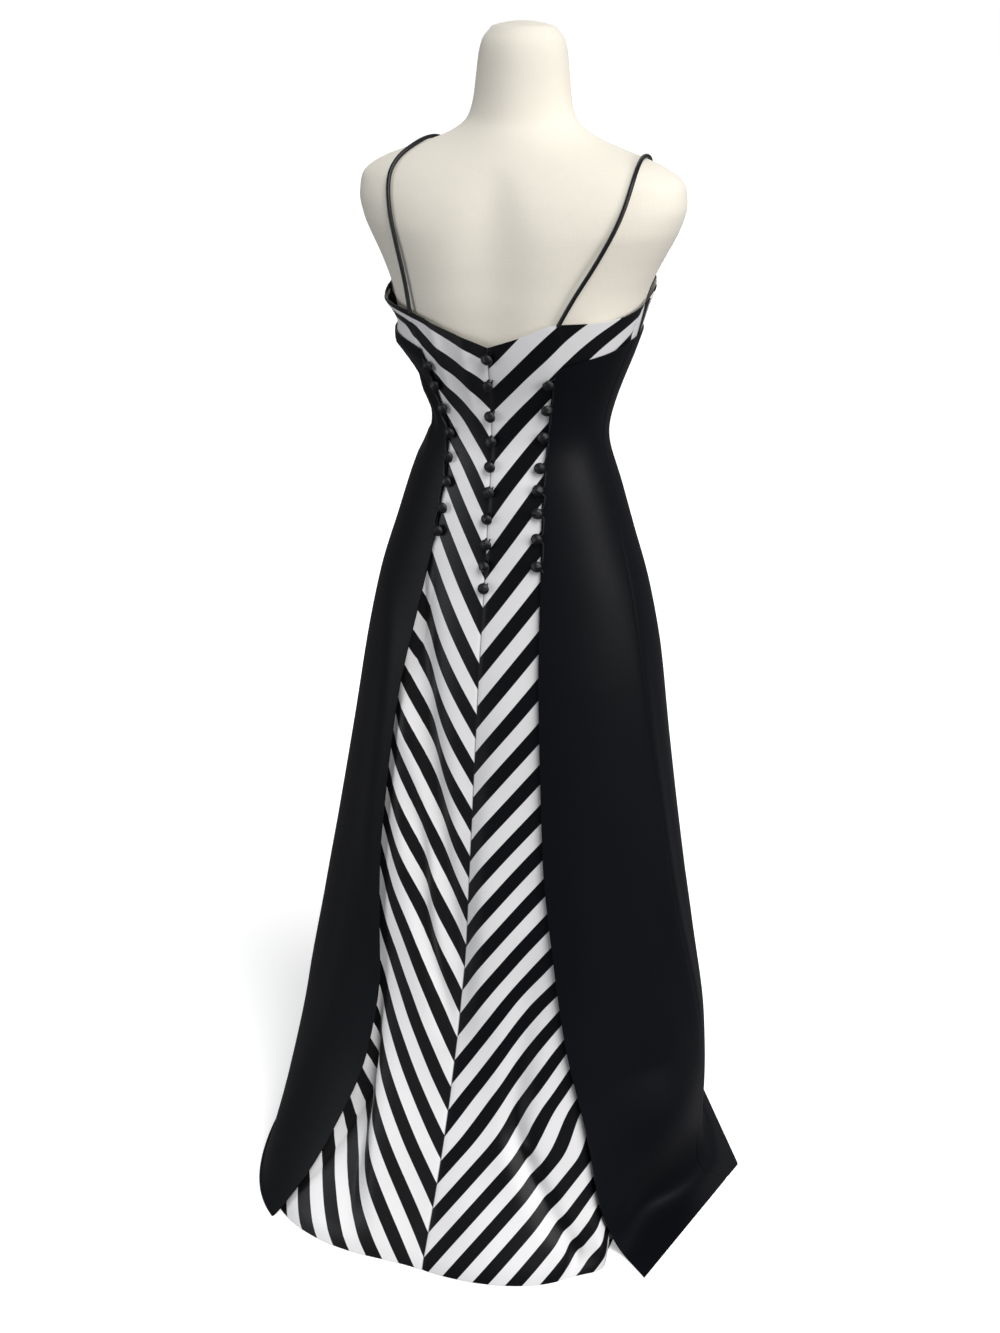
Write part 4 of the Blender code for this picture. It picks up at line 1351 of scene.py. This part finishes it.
def cover_material(form):
    """Off-white woven cover stretched over the form."""
    material, tree, shader = start_material("form_cover")
    threads = woven(tree, laid_flat(tree, "cut"), warp=1100.0, weft=1100.0, thread_length=0.05)
    wear = worn(tree, object_place(tree), patch_size=6.0)
    colour = toned(tree, tuple(form.cover_colour)[:3], wear["Tone"], 0.04)
    colour = toned(tree, colour, threads, 0.035)
    set_inputs(tree, shader, Base_Color=colour, Roughness=0.86, Specular_IOR_Level=0.25,
               Sheen_Weight=0.15, Sheen_Roughness=0.50)
    bumped(tree, shader, threads, strength=0.35, distance=COVER_RELIEF)
    return material


def metal_material(form):
    """Black paint on the stand's pole and base, a little worn."""
    material, tree, shader = start_material("stand_paint")
    place = object_place(tree)
    tone = worn(tree, place, patch_size=24.0)["Tone"]
    colour = toned(tree, tuple(form.metal_colour)[:3], tone, 0.20)
    set_inputs(tree, shader, Base_Color=colour, Roughness=ranged(tree, tone, 0.3, 0.7, 0.38, 0.55))
    fine = node(tree, "ShaderNodeTexNoise", Vector=place, Scale=900.0, Detail=2.0)
    bumped(tree, shader, fine.outputs[0], strength=0.12)
    return material


def floor_material(studio):
    """Pale matt floor, which throws less light back on the gown than it shows."""
    material, tree, shader = start_material("studio_floor")
    seen = node(tree, "ShaderNodeLightPath").outputs["Is Camera Ray"]
    colour = blended(tree, seen, tuple(studio.floor_bounce), tuple(studio.floor_colour))
    glow = arithmetic(tree, "MULTIPLY", seen, studio.floor_glow)
    set_inputs(tree, shader, Base_Color=colour, Emission_Strength=glow, Emission_Color=WHITE,
               Roughness=0.95, Specular_IOR_Level=0.1)
    return material


def shared(name, make):
    """A material made once and found again by its name."""
    return bpy.data.materials.get(name) or make()


# ---------------------------------------------------------------- settings


def colour_property(name, description, default):
    """A colour that a user may change."""
    return FloatVectorProperty(name=name, description=description, default=default, size=4,
                               subtype="COLOR", min=0.0, max=1.0)


def length_property(name, description, default):
    """A length that a user may change."""
    return FloatProperty(name=name, description=description, default=default, unit="LENGTH",
                         subtype="DISTANCE", min=0.0, precision=4)


def light_property(name, description, default, **limits):
    """A strength or power of the light that a user may change."""
    return FloatProperty(name=name, description=description, default=default, min=0.0, **limits)


class GownCloth(bpy.types.PropertyGroup):
    """Sizes and colours of the cloth."""

    stripe_spacing: length_property("Stripe Spacing", "From one pair of stripes to the next, "
                                    "along the seam", 0.0628)
    stripe_blur: length_property("Stripe Edge", "Soft width of a stripe's edge", 0.0004)
    seam_depth: length_property("Seam Depth", "How far the sewn edges turn in", 0.0007)
    white_colour: colour_property("White Stripe", "Pale stripe", (0.79, 0.78, 0.785, 1.0))
    # Painted shade: a darker, cooler copy of the pale stripe for the wearer's right half.
    white_painted_shade_colour: colour_property("White Stripe, Right", "Pale stripe on the wearer's right",
                                        (0.69, 0.685, 0.695, 1.0))
    dark_stripe_colour: colour_property("Dark Stripe", "Black stripe", (0.0052, 0.0053, 0.0060, 1.0))
    # Painted shade: a darker, bluer copy of the black stripe for the wearer's right half.
    dark_painted_shade_colour: colour_property("Dark Stripe, Right", "Black stripe on the wearer's right",
                                       (0.0012, 0.0015, 0.0028, 1.0))
    black_colour: colour_property("Black Satin", "Overskirt and trim", (0.0022, 0.0027, 0.0042, 1.0))


class GownTrim(bpy.types.PropertyGroup):
    """Sizes of the buttons, loops and straps."""

    button_diameter: length_property("Button Diameter", "Across a covered button", 0.0146)
    button_rise: length_property("Button Height", "From the cloth to the dome's top", 0.0100)
    strap_diameter: length_property("Strap Diameter", "Thickness of a rouleau strap", 0.0050)
    loop_diameter: length_property("Loop Diameter", "Thickness of a loop's cord", 0.0018)


class GownForm(bpy.types.PropertyGroup):
    """Finish of the dress form and its stand."""

    cover_colour: colour_property("Cover", "Woven cover of the form", (0.755, 0.715, 0.625, 1.0))
    metal_colour: colour_property("Stand", "Paint of the pole and base", (0.03, 0.03, 0.03, 1.0))


class GownStudio(bpy.types.PropertyGroup):
    """Light and floor."""

    sky_strength: light_property("High Light", "Strength of the broad high light", 2.65)
    left_power: light_property("Left Light", "Power of the light on the left", 28.0, unit="POWER")
    right_power: light_property("Right Light", "Power of the light on the right", 30.0, unit="POWER")
    front_power: light_property("Front Light", "Power of the light in front", 24.0, unit="POWER")
    ambient: light_property("Ambient", "Strength of the light all round", 0.19,
                            max=2.0, subtype="FACTOR")
    floor_colour: colour_property("Floor", "Colour of the floor", (0.95, 0.95, 0.95, 1.0))
    floor_bounce: colour_property("Floor Bounce", "Light thrown back up", (0.13, 0.13, 0.14, 1.0))
    floor_glow: light_property("Floor Glow", "Brightness added to the floor", 0.34,
                               max=1.0, subtype="FACTOR")


# ---------------------------------------------------------------- pieces


class GOWN_OT_form(bpy.types.Operator):
    """Model the limbless torso with its woven cover"""

    bl_idname = "gown.form"
    bl_label = "Dress Form"

    def execute(self, context):
        settings = context.scene.gown_form
        angle = np.linspace(0.0, 360.0, FORM_SIDES + 1)[None, :]
        height = np.linspace(FORM[0][0], FORM[-1][0], FORM_RINGS)[:, None]
        side = polar(angle, form_radius(angle, height), height)
        underside = self.cap(side[0], UNDERSIDE_SHARES, UNDERSIDE_SQUARENESS, FORM_BOTTOM)
        crown = self.cap(side[-1], CROWN_SHARES, CROWN_SQUARENESS, FORM_TOP)
        points = np.concatenate([underside, side, crown])
        around = np.broadcast_to(np.radians(angle) * COVER_WIDTH_PER_RADIAN, points.shape[:2])
        steps = np.linalg.norm(np.diff(points, axis=0), axis=-1).mean(axis=1)
        up = np.concatenate([[0.0], np.cumsum(steps)])[:, None]
        flat = np.stack([around, np.broadcast_to(up, around.shape)], axis=-1)
        item = grid_object("dress_form_torso", points, cut=flat)
        welded(item, FORM_WELD)
        covered_with(item, shared("form_cover", lambda: cover_material(settings)))
        finish_piece(item, "form_jersey", "form_torso")
        return {"FINISHED"}

    @staticmethod
    def cap(ring, shares, squareness, end):
        """Rows inside a ring, drawn in by shares and closing it at an end height."""
        rows = []
        for share in shares:
            row = ring * np.array([share, share, 1.0])
            row[:, 2] = ring[0, 2] + (1.0 - share ** squareness) * (end - ring[0, 2])
            rows.append(row)
        return np.stack(rows)


class GOWN_OT_stand(bpy.types.Operator):
    """Paint the pole and the base of the stand"""

    bl_idname = "gown.stand"
    bl_label = "Stand Finish"

    def execute(self, context):
        paint = shared("stand_paint", lambda: metal_material(context.scene.gown_form))
        for name in ("form_pole", "form_base"):
            covered_with(frame["nodes"][name], paint)
        return {"FINISHED"}


class GOWN_OT_sheath(bpy.types.Operator):
    """Cut and hang the four striped panels of the sheath"""

    bl_idname = "gown.sheath"
    bl_label = "Striped Sheath"

    def execute(self, context):
        cloth = context.scene.gown_cloth
        material = shared("sheath_satin", lambda: striped_material(cloth))
        side_left = mirrored(STRIPE_SIDE_SEAM)
        middle = straight_seam(0.0)
        right, left = half(NECKLINE, 1.0), half(NECKLINE, -1.0)
        panels = (
            ("back_right", middle, STRIPE_SIDE_SEAM, SHEATH_BACK_GRID, right, "low"),
            ("back_left", side_left, middle, SHEATH_BACK_GRID, left, "high"),
            ("front_right", STRIPE_SIDE_SEAM, straight_seam(180.0), SHEATH_FRONT_GRID, right, "high"),
            ("front_left", straight_seam(-180.0), side_left, SHEATH_FRONT_GRID, left, "low"),
        )
        at_side = {}
        for name, low, high, grid, neckline, seam in panels:
            points = sheath_points(low, high, grid, neckline, cloth.seam_depth)
            flat = flat_cut(points, seam)
            part, side = name.split("_")
            held = name == "back_left"
            stripes = stripe_map(flat, STRIPE_RUN["front" if part == "front" else side], held)
            if held:
                stripes[..., 1] += edge_tuck(stripes[..., 0], points[-1:, :, 2] - points[..., 2])
            column = -1 if seam == "low" else 0
            row = np.abs(points[:, column, 2] - STRIPE_MATCH_HEIGHT).argmin()
            matched = at_side.setdefault(side, stripes[row, column, 1])
            stripes[..., 1] += matched - stripes[row, column, 1]
            item = cloth_panel(f"sheath_{name}", points, SHEATH_WALL, material,
                               cut=flat, stripes=stripes)
            finish_piece(item, "striped_satin", f"stripe_{name}")
        return {"FINISHED"}


class GOWN_OT_overskirt(bpy.types.Operator):
    """Cut and hang the three black panels of the overskirt"""

    bl_idname = "gown.overskirt"
    bl_label = "Black Overskirt"

    def execute(self, context):
        cloth = context.scene.gown_cloth
        material = shared("overskirt_satin", lambda: black_material(cloth))
        side_left = mirrored(BLACK_SIDE_SEAM)
        around_front = tuple((height, 360.0 + angle) for height, angle in side_left)
        panels = (
            ("back_right", OPEN_EDGE_RIGHT, BLACK_SIDE_SEAM, OVERSKIRT_BACK_GRID, True, False),
            ("back_left", side_left, OPEN_EDGE_LEFT, OVERSKIRT_BACK_GRID, False, True),
            ("front", BLACK_SIDE_SEAM, around_front, OVERSKIRT_FRONT_GRID, False, False),
        )
        for name, low, high, grid, open_low, open_high in panels:
            points = over_points(low, high, grid, cloth.seam_depth, open_low, open_high)
            flat = flat_cut(points, "low")
            item = cloth_panel(f"overskirt_{name}", points, BLACK_WALL, material, cut=flat)
            finish_piece(item, "black_satin", f"black_{name}")
        return {"FINISHED"}


class GOWN_OT_straps(bpy.types.Operator):
    """Lay the two rouleau straps over the shoulders"""

    bl_idname = "gown.straps"
    bl_label = "Shoulder Straps"

    def execute(self, context):
        radius = 0.5 * context.scene.gown_trim.strap_diameter
        material = shared("trim_satin", lambda: trim_material(context.scene.gown_cloth))
        tree = surface_tree([bpy.data.objects["dress_form_torso"]])
        for side, strap in STRAPS.items():
            ends = []
            for angle in (strap["back_angle"], strap["front_angle"]):
                height = float(read(half(NECKLINE, math.copysign(1.0, angle)), angle))
                reach = float(sheath_radius(angle, height)) - 0.5 * SHEATH_WALL
                ends.append(Vector(polar(angle, reach, height - STRAP_END_LIFT)))
            over = [Vector(point) for point in strap["over"]]
            path = smooth_path([ends[0]] + over + [ends[1]], STRAP_POINTS)
            for _ in range(STRAP_RELAXATIONS):
                path = self.relaxed([path[0]] + [self.push_off(tree, point, radius + STRAP_CLEARANCE)
                                                 for point in path[1:-1]] + [path[-1]])
            item = tube(f"shoulder_strap_{side}", path, radius, material, STRAP_SIDES)
            finish_piece(item, "black_satin", f"strap_{side}")
        return {"FINISHED"}

    @staticmethod
    def push_off(tree, point, clearance):
        """Move a point outwards until it is a clearance away from a closed form."""
        spot, normal, _, _ = tree.find_nearest(point)
        if (point - spot).dot(normal) < clearance:
            point = spot + normal * clearance
        return point

    @staticmethod
    def relaxed(path):
        """The same path with each inner point drawn towards the middle of its neighbours."""
        inner = [0.5 * path[index] + 0.25 * (path[index - 1] + path[index + 1])
                 for index in range(1, len(path) - 1)]
        return [path[0]] + inner + [path[-1]]


def button_mesh(diameter, rise):
    """A covered button on its shank: a dome whose cover is gathered in underneath."""
    segments, rings = BUTTON_SEGMENTS
    radius = 0.5 * diameter
    depth = BUTTON_DOME * diameter
    bpy.ops.object.select_all(action="DESELECT")
    bpy.ops.mesh.primitive_uv_sphere_add(segments=segments, ring_count=rings, radius=radius,
                                         location=(0.0, 0.0, 0.0))
    item = bpy.context.object
    data = item.data
    for vertex in data.vertices:
        level = vertex.co.z / radius
        if level >= 0.0:
            away = vertex.co.x / radius
            fold = math.exp(-(away / BUTTON_FOLD_WIDTH) ** 2) - BUTTON_FOLD_FALL * max(away, 0.0)
            vertex.co.z = depth * (level ** BUTTON_DOME_POWER + BUTTON_FOLD * fold * level)
        else:
            vertex.co.z = BUTTON_RIM * diameter * level
            pull = 1.0 - BUTTON_GATHER * (-level) ** 3
            vertex.co.x *= pull
            vertex.co.y *= pull
    bpy.ops.object.mode_set(mode="EDIT")
    bpy.ops.mesh.select_all(action="DESELECT")
    bpy.ops.object.mode_set(mode="OBJECT")
    for face in data.polygons:
        low = face.center.z < -SHANK_LEVEL * diameter
        face.select = low and face.center.xy.length < SHANK_RADIUS * diameter
    bpy.ops.object.mode_set(mode="EDIT")
    fall = -rise + depth + SHANK_TOP * diameter
    bpy.ops.mesh.extrude_region_move(TRANSFORM_OT_translate={"value": (0.0, 0.0, fall)})
    bpy.ops.object.mode_set(mode="OBJECT")
    lowest = min(vertex.co.z for vertex in data.vertices)
    for vertex in data.vertices:
        if vertex.co.z < lowest + SHANK_END * diameter:
            vertex.co.z = lowest
    data.transform(Matrix.Translation((0.0, 0.0, -lowest)))
    smoothed(item, BUTTON_SHADING)
    bpy.data.objects.remove(item)
    return data


class GOWN_OT_buttons(bpy.types.Operator):
    """Sew on the three rows of covered buttons"""

    bl_idname = "gown.buttons"
    bl_label = "Covered Buttons"

    def execute(self, context):
        trim = context.scene.gown_trim
        material = shared("trim_satin", lambda: trim_material(context.scene.gown_cloth))
        mould = button_mesh(trim.button_diameter, trim.button_rise)
        random = np.random.default_rng(BUTTON_SEED)
        tilt = math.tan(math.radians(BUTTON_TILT))
        droop = Vector((0.0, 0.0, -math.tan(math.radians(BUTTON_DROOP))))
        backs = {side: surface_tree([bpy.data.objects[f"sheath_back_{side}"]])
                 for side in ("right", "left")}
        rows = (
            ("centre", backs["right"], [(height, CENTRE_BUTTON_ANGLE) for height in CENTRE_BUTTONS]),
            ("right", backs["right"], RIGHT_BUTTONS),
            ("left", backs["left"], LEFT_BUTTONS),
        )
        for row, tree, places in rows:
            for number, (height, angle) in enumerate(places, 1):
                spot, normal = seat(tree, angle, height)
                sway = Vector(random.normal(0.0, tilt * BUTTON_TILT_SPREAD, 3))
                axis = (normal + droop + sway * BUTTON_SWAY).normalized()
                data = mould.copy()
                spin = Matrix.Rotation(random.uniform(0.0, 2.0 * math.pi), 4, "Z")
                turn = axis.to_track_quat("Z", "Y").to_matrix().to_4x4() @ spin
                data.transform(Matrix.Translation(spot + normal * BUTTON_SEAT) @ turn)
                item = linked(f"covered_button_{row}_{number:02d}", data)
                covered_with(item, material)
                finish_piece(item, "black_satin", f"button_{row}_{number:02d}")
        bpy.data.meshes.remove(mould)
        return {"FINISHED"}


class GOWN_OT_loops(bpy.types.Operator):
    """Hook the cord loops round the buttons"""

    bl_idname = "gown.loops"
    bl_label = "Button Loops"

    def execute(self, context):
        radius = 0.5 * context.scene.gown_trim.loop_diameter
        material = shared("trim_satin", lambda: trim_material(context.scene.gown_cloth))
        lift = radius + CORD_CLEARANCE
        objects = bpy.data.objects
        backs = surface_tree([objects["sheath_back_right"], objects["sheath_back_left"]])
        for number, height in enumerate(CENTRE_BUTTONS, 1):
            points = [self.above(backs, 0.0, height, up, across, lift) for up, across in CENTRE_LOOP]
            path = smooth_path(points, LOOP_POINTS_BETWEEN * len(points))
            item = tube(f"button_loop_centre_{number:02d}", path, radius, material, LOOP_SIDES)
            finish_piece(item, "black_satin", f"loop_centre_{number:02d}")
        for side, buttons in (("right", RIGHT_BUTTONS), ("left", LEFT_BUTTONS)):
            stripe = surface_tree([objects[f"sheath_back_{side}"]])
            both = surface_tree([objects[f"sheath_back_{side}"], objects[f"overskirt_back_{side}"]])
            sign = 1.0 if side == "right" else -1.0
            points = []
            for height, angle in buttons:
                for up, across in SIDE_LOOP:
                    over = self.above(stripe, angle, height, up, sign * across, SIDE_LOOP_HEIGHT)
                    top = self.above(both, angle, height, up, sign * across, lift)
                    points.append(top if top.xy.length > over.xy.length else over)
            path = smooth_path(points, LOOP_POINTS_BETWEEN * len(points))
            item = tube(f"button_cord_{side}", path, radius, material, LOOP_SIDES)
            finish_piece(item, "black_satin", f"loop_cord_{side}")
        return {"FINISHED"}

    @staticmethod
    def above(tree, angle, height, up, across, lift):
        """A point above the cloth, at an offset from a place on it."""
        reach = float(sheath_radius(angle, height + up))
        spot, normal = seat(tree, angle + math.degrees(across / reach), height + up)
        return spot + normal * lift


class GOWN_OT_stage(bpy.types.Operator):
    """Set up the floor, the soft lights and the camera"""

    bl_idname = "gown.stage"
    bl_label = "Studio"

    def execute(self, context):
        studio = context.scene.gown_studio
        bpy.ops.object.select_all(action="DESELECT")
        bpy.ops.mesh.primitive_plane_add(size=FLOOR_SIZE, location=(0.0, 0.0, 0.0))
        floor = bpy.context.object
        floor.name = "studio_floor"
        covered_with(floor, floor_material(studio))
        self.high_light(studio.sky_strength)
        self.area_light("left_light", studio.left_power)
        self.area_light("right_light", studio.right_power)
        self.area_light("front_light", studio.front_power)
        self.world(context, studio)
        self.camera(context)
        context.scene.view_settings.view_transform = "Standard"
        return {"FINISHED"}

    @staticmethod
    def aimed(data, azimuth, elevation, distance):
        """A light aimed at the middle of the gown from a direction."""
        item = linked(data.name, data)
        turn, rise = math.radians(azimuth), math.radians(elevation)
        away = Vector((math.sin(turn) * math.cos(rise), -math.cos(turn) * math.cos(rise),
                       math.sin(rise)))
        item.location = Vector(LIGHT_TARGET) + away * distance
        item.rotation_mode = "QUATERNION"
        item.rotation_quaternion = away.to_track_quat("Z", "Y")

    def area_light(self, name, power):
        """A square soft light."""
        place, width, colour = AREA_LIGHTS[name]
        data = bpy.data.lights.new(name, "AREA")
        data.shape = "SQUARE"
        data.size = width
        data.energy = power
        data.color = colour
        self.aimed(data, *place)

    def high_light(self, strength):
        """A broad even light from high up, which reaches the whole floor."""
        data = bpy.data.lights.new("high_light", "SUN")
        data.energy = strength
        data.angle = math.radians(HIGH_LIGHT_WIDTH)
        self.aimed(data, *HIGH_LIGHT_PLACE)

    @staticmethod
    def world(context, studio):
        """White surroundings that light the gown softly."""
        world = bpy.data.worlds.new("studio_world")
        world.use_nodes = True
        tree = world.node_tree
        tree.nodes.clear()
        path = node(tree, "ShaderNodeLightPath")
        strength = ranged(tree, path.outputs["Is Camera Ray"], 0.0, 1.0, studio.ambient, 1.0)
        background = node(tree, "ShaderNodeBackground", Color=WHITE, Strength=strength)
        node(tree, "ShaderNodeOutputWorld", Surface=background.outputs[0])
        context.scene.world = world

    @staticmethod
    def camera(context):
        """Camera behind the gown, on the wearer's right, a little above it."""
        data = bpy.data.cameras.new("studio_camera")
        data.sensor_width = CAMERA_SENSOR
        data.lens = CAMERA_LENS
        item = linked("studio_camera", data)
        turn = (Matrix.Rotation(math.radians(CAMERA_AZIMUTH), 4, "Z")
                @ Matrix.Rotation(math.radians(90.0 - CAMERA_ELEVATION), 4, "X")
                @ Matrix.Rotation(math.radians(CAMERA_ROLL), 4, "Z"))
        item.matrix_world = Matrix.Translation(CAMERA_PLACE) @ turn
        context.scene.camera = item


class GOWN_PT_panel(bpy.types.Panel):
    """Lists the gown's pieces and settings"""

    bl_label = "Evening Gown"
    bl_idname = "GOWN_PT_panel"
    bl_space_type = "VIEW_3D"
    bl_region_type = "UI"
    bl_category = "Gown"

    def draw(self, context):
        column = self.layout.column(align=True)
        for operator in OPERATORS:
            column.operator(operator.bl_idname)
        for setting in SETTINGS:
            group = getattr(context.scene, setting)
            box = self.layout.box()
            for name in group.bl_rna.properties.keys():
                if name not in ("rna_type", "name"):
                    box.prop(group, name)


# ---------------------------------------------------------------- add-on

SETTINGS = {
    "gown_cloth": GownCloth,
    "gown_trim": GownTrim,
    "gown_form": GownForm,
    "gown_studio": GownStudio,
}
OPERATORS = (
    GOWN_OT_form,
    GOWN_OT_stand,
    GOWN_OT_sheath,
    GOWN_OT_overskirt,
    GOWN_OT_straps,
    GOWN_OT_buttons,
    GOWN_OT_loops,
    GOWN_OT_stage,
)
CLASSES = (*SETTINGS.values(), *OPERATORS, GOWN_PT_panel)


def register():
    """Make the settings, operators and panel known to Blender."""
    for group in CLASSES:
        bpy.utils.register_class(group)
    for name, group in SETTINGS.items():
        setattr(bpy.types.Scene, name, PointerProperty(type=group))


def unregister():
    """Take them away again."""
    for name in SETTINGS:
        delattr(bpy.types.Scene, name)
    for group in reversed(CLASSES):
        bpy.utils.unregister_class(group)


def main():
    """Build every piece in order."""
    register()
    bpy.ops.object.select_all(action="DESELECT")
    bpy.ops.gown.form()
    bpy.ops.gown.stand()
    bpy.ops.gown.sheath()
    bpy.ops.gown.overskirt()
    bpy.ops.gown.straps()
    bpy.ops.gown.buttons()
    bpy.ops.gown.loops()
    bpy.ops.gown.stage()


if __name__ == "__main__":
    main()
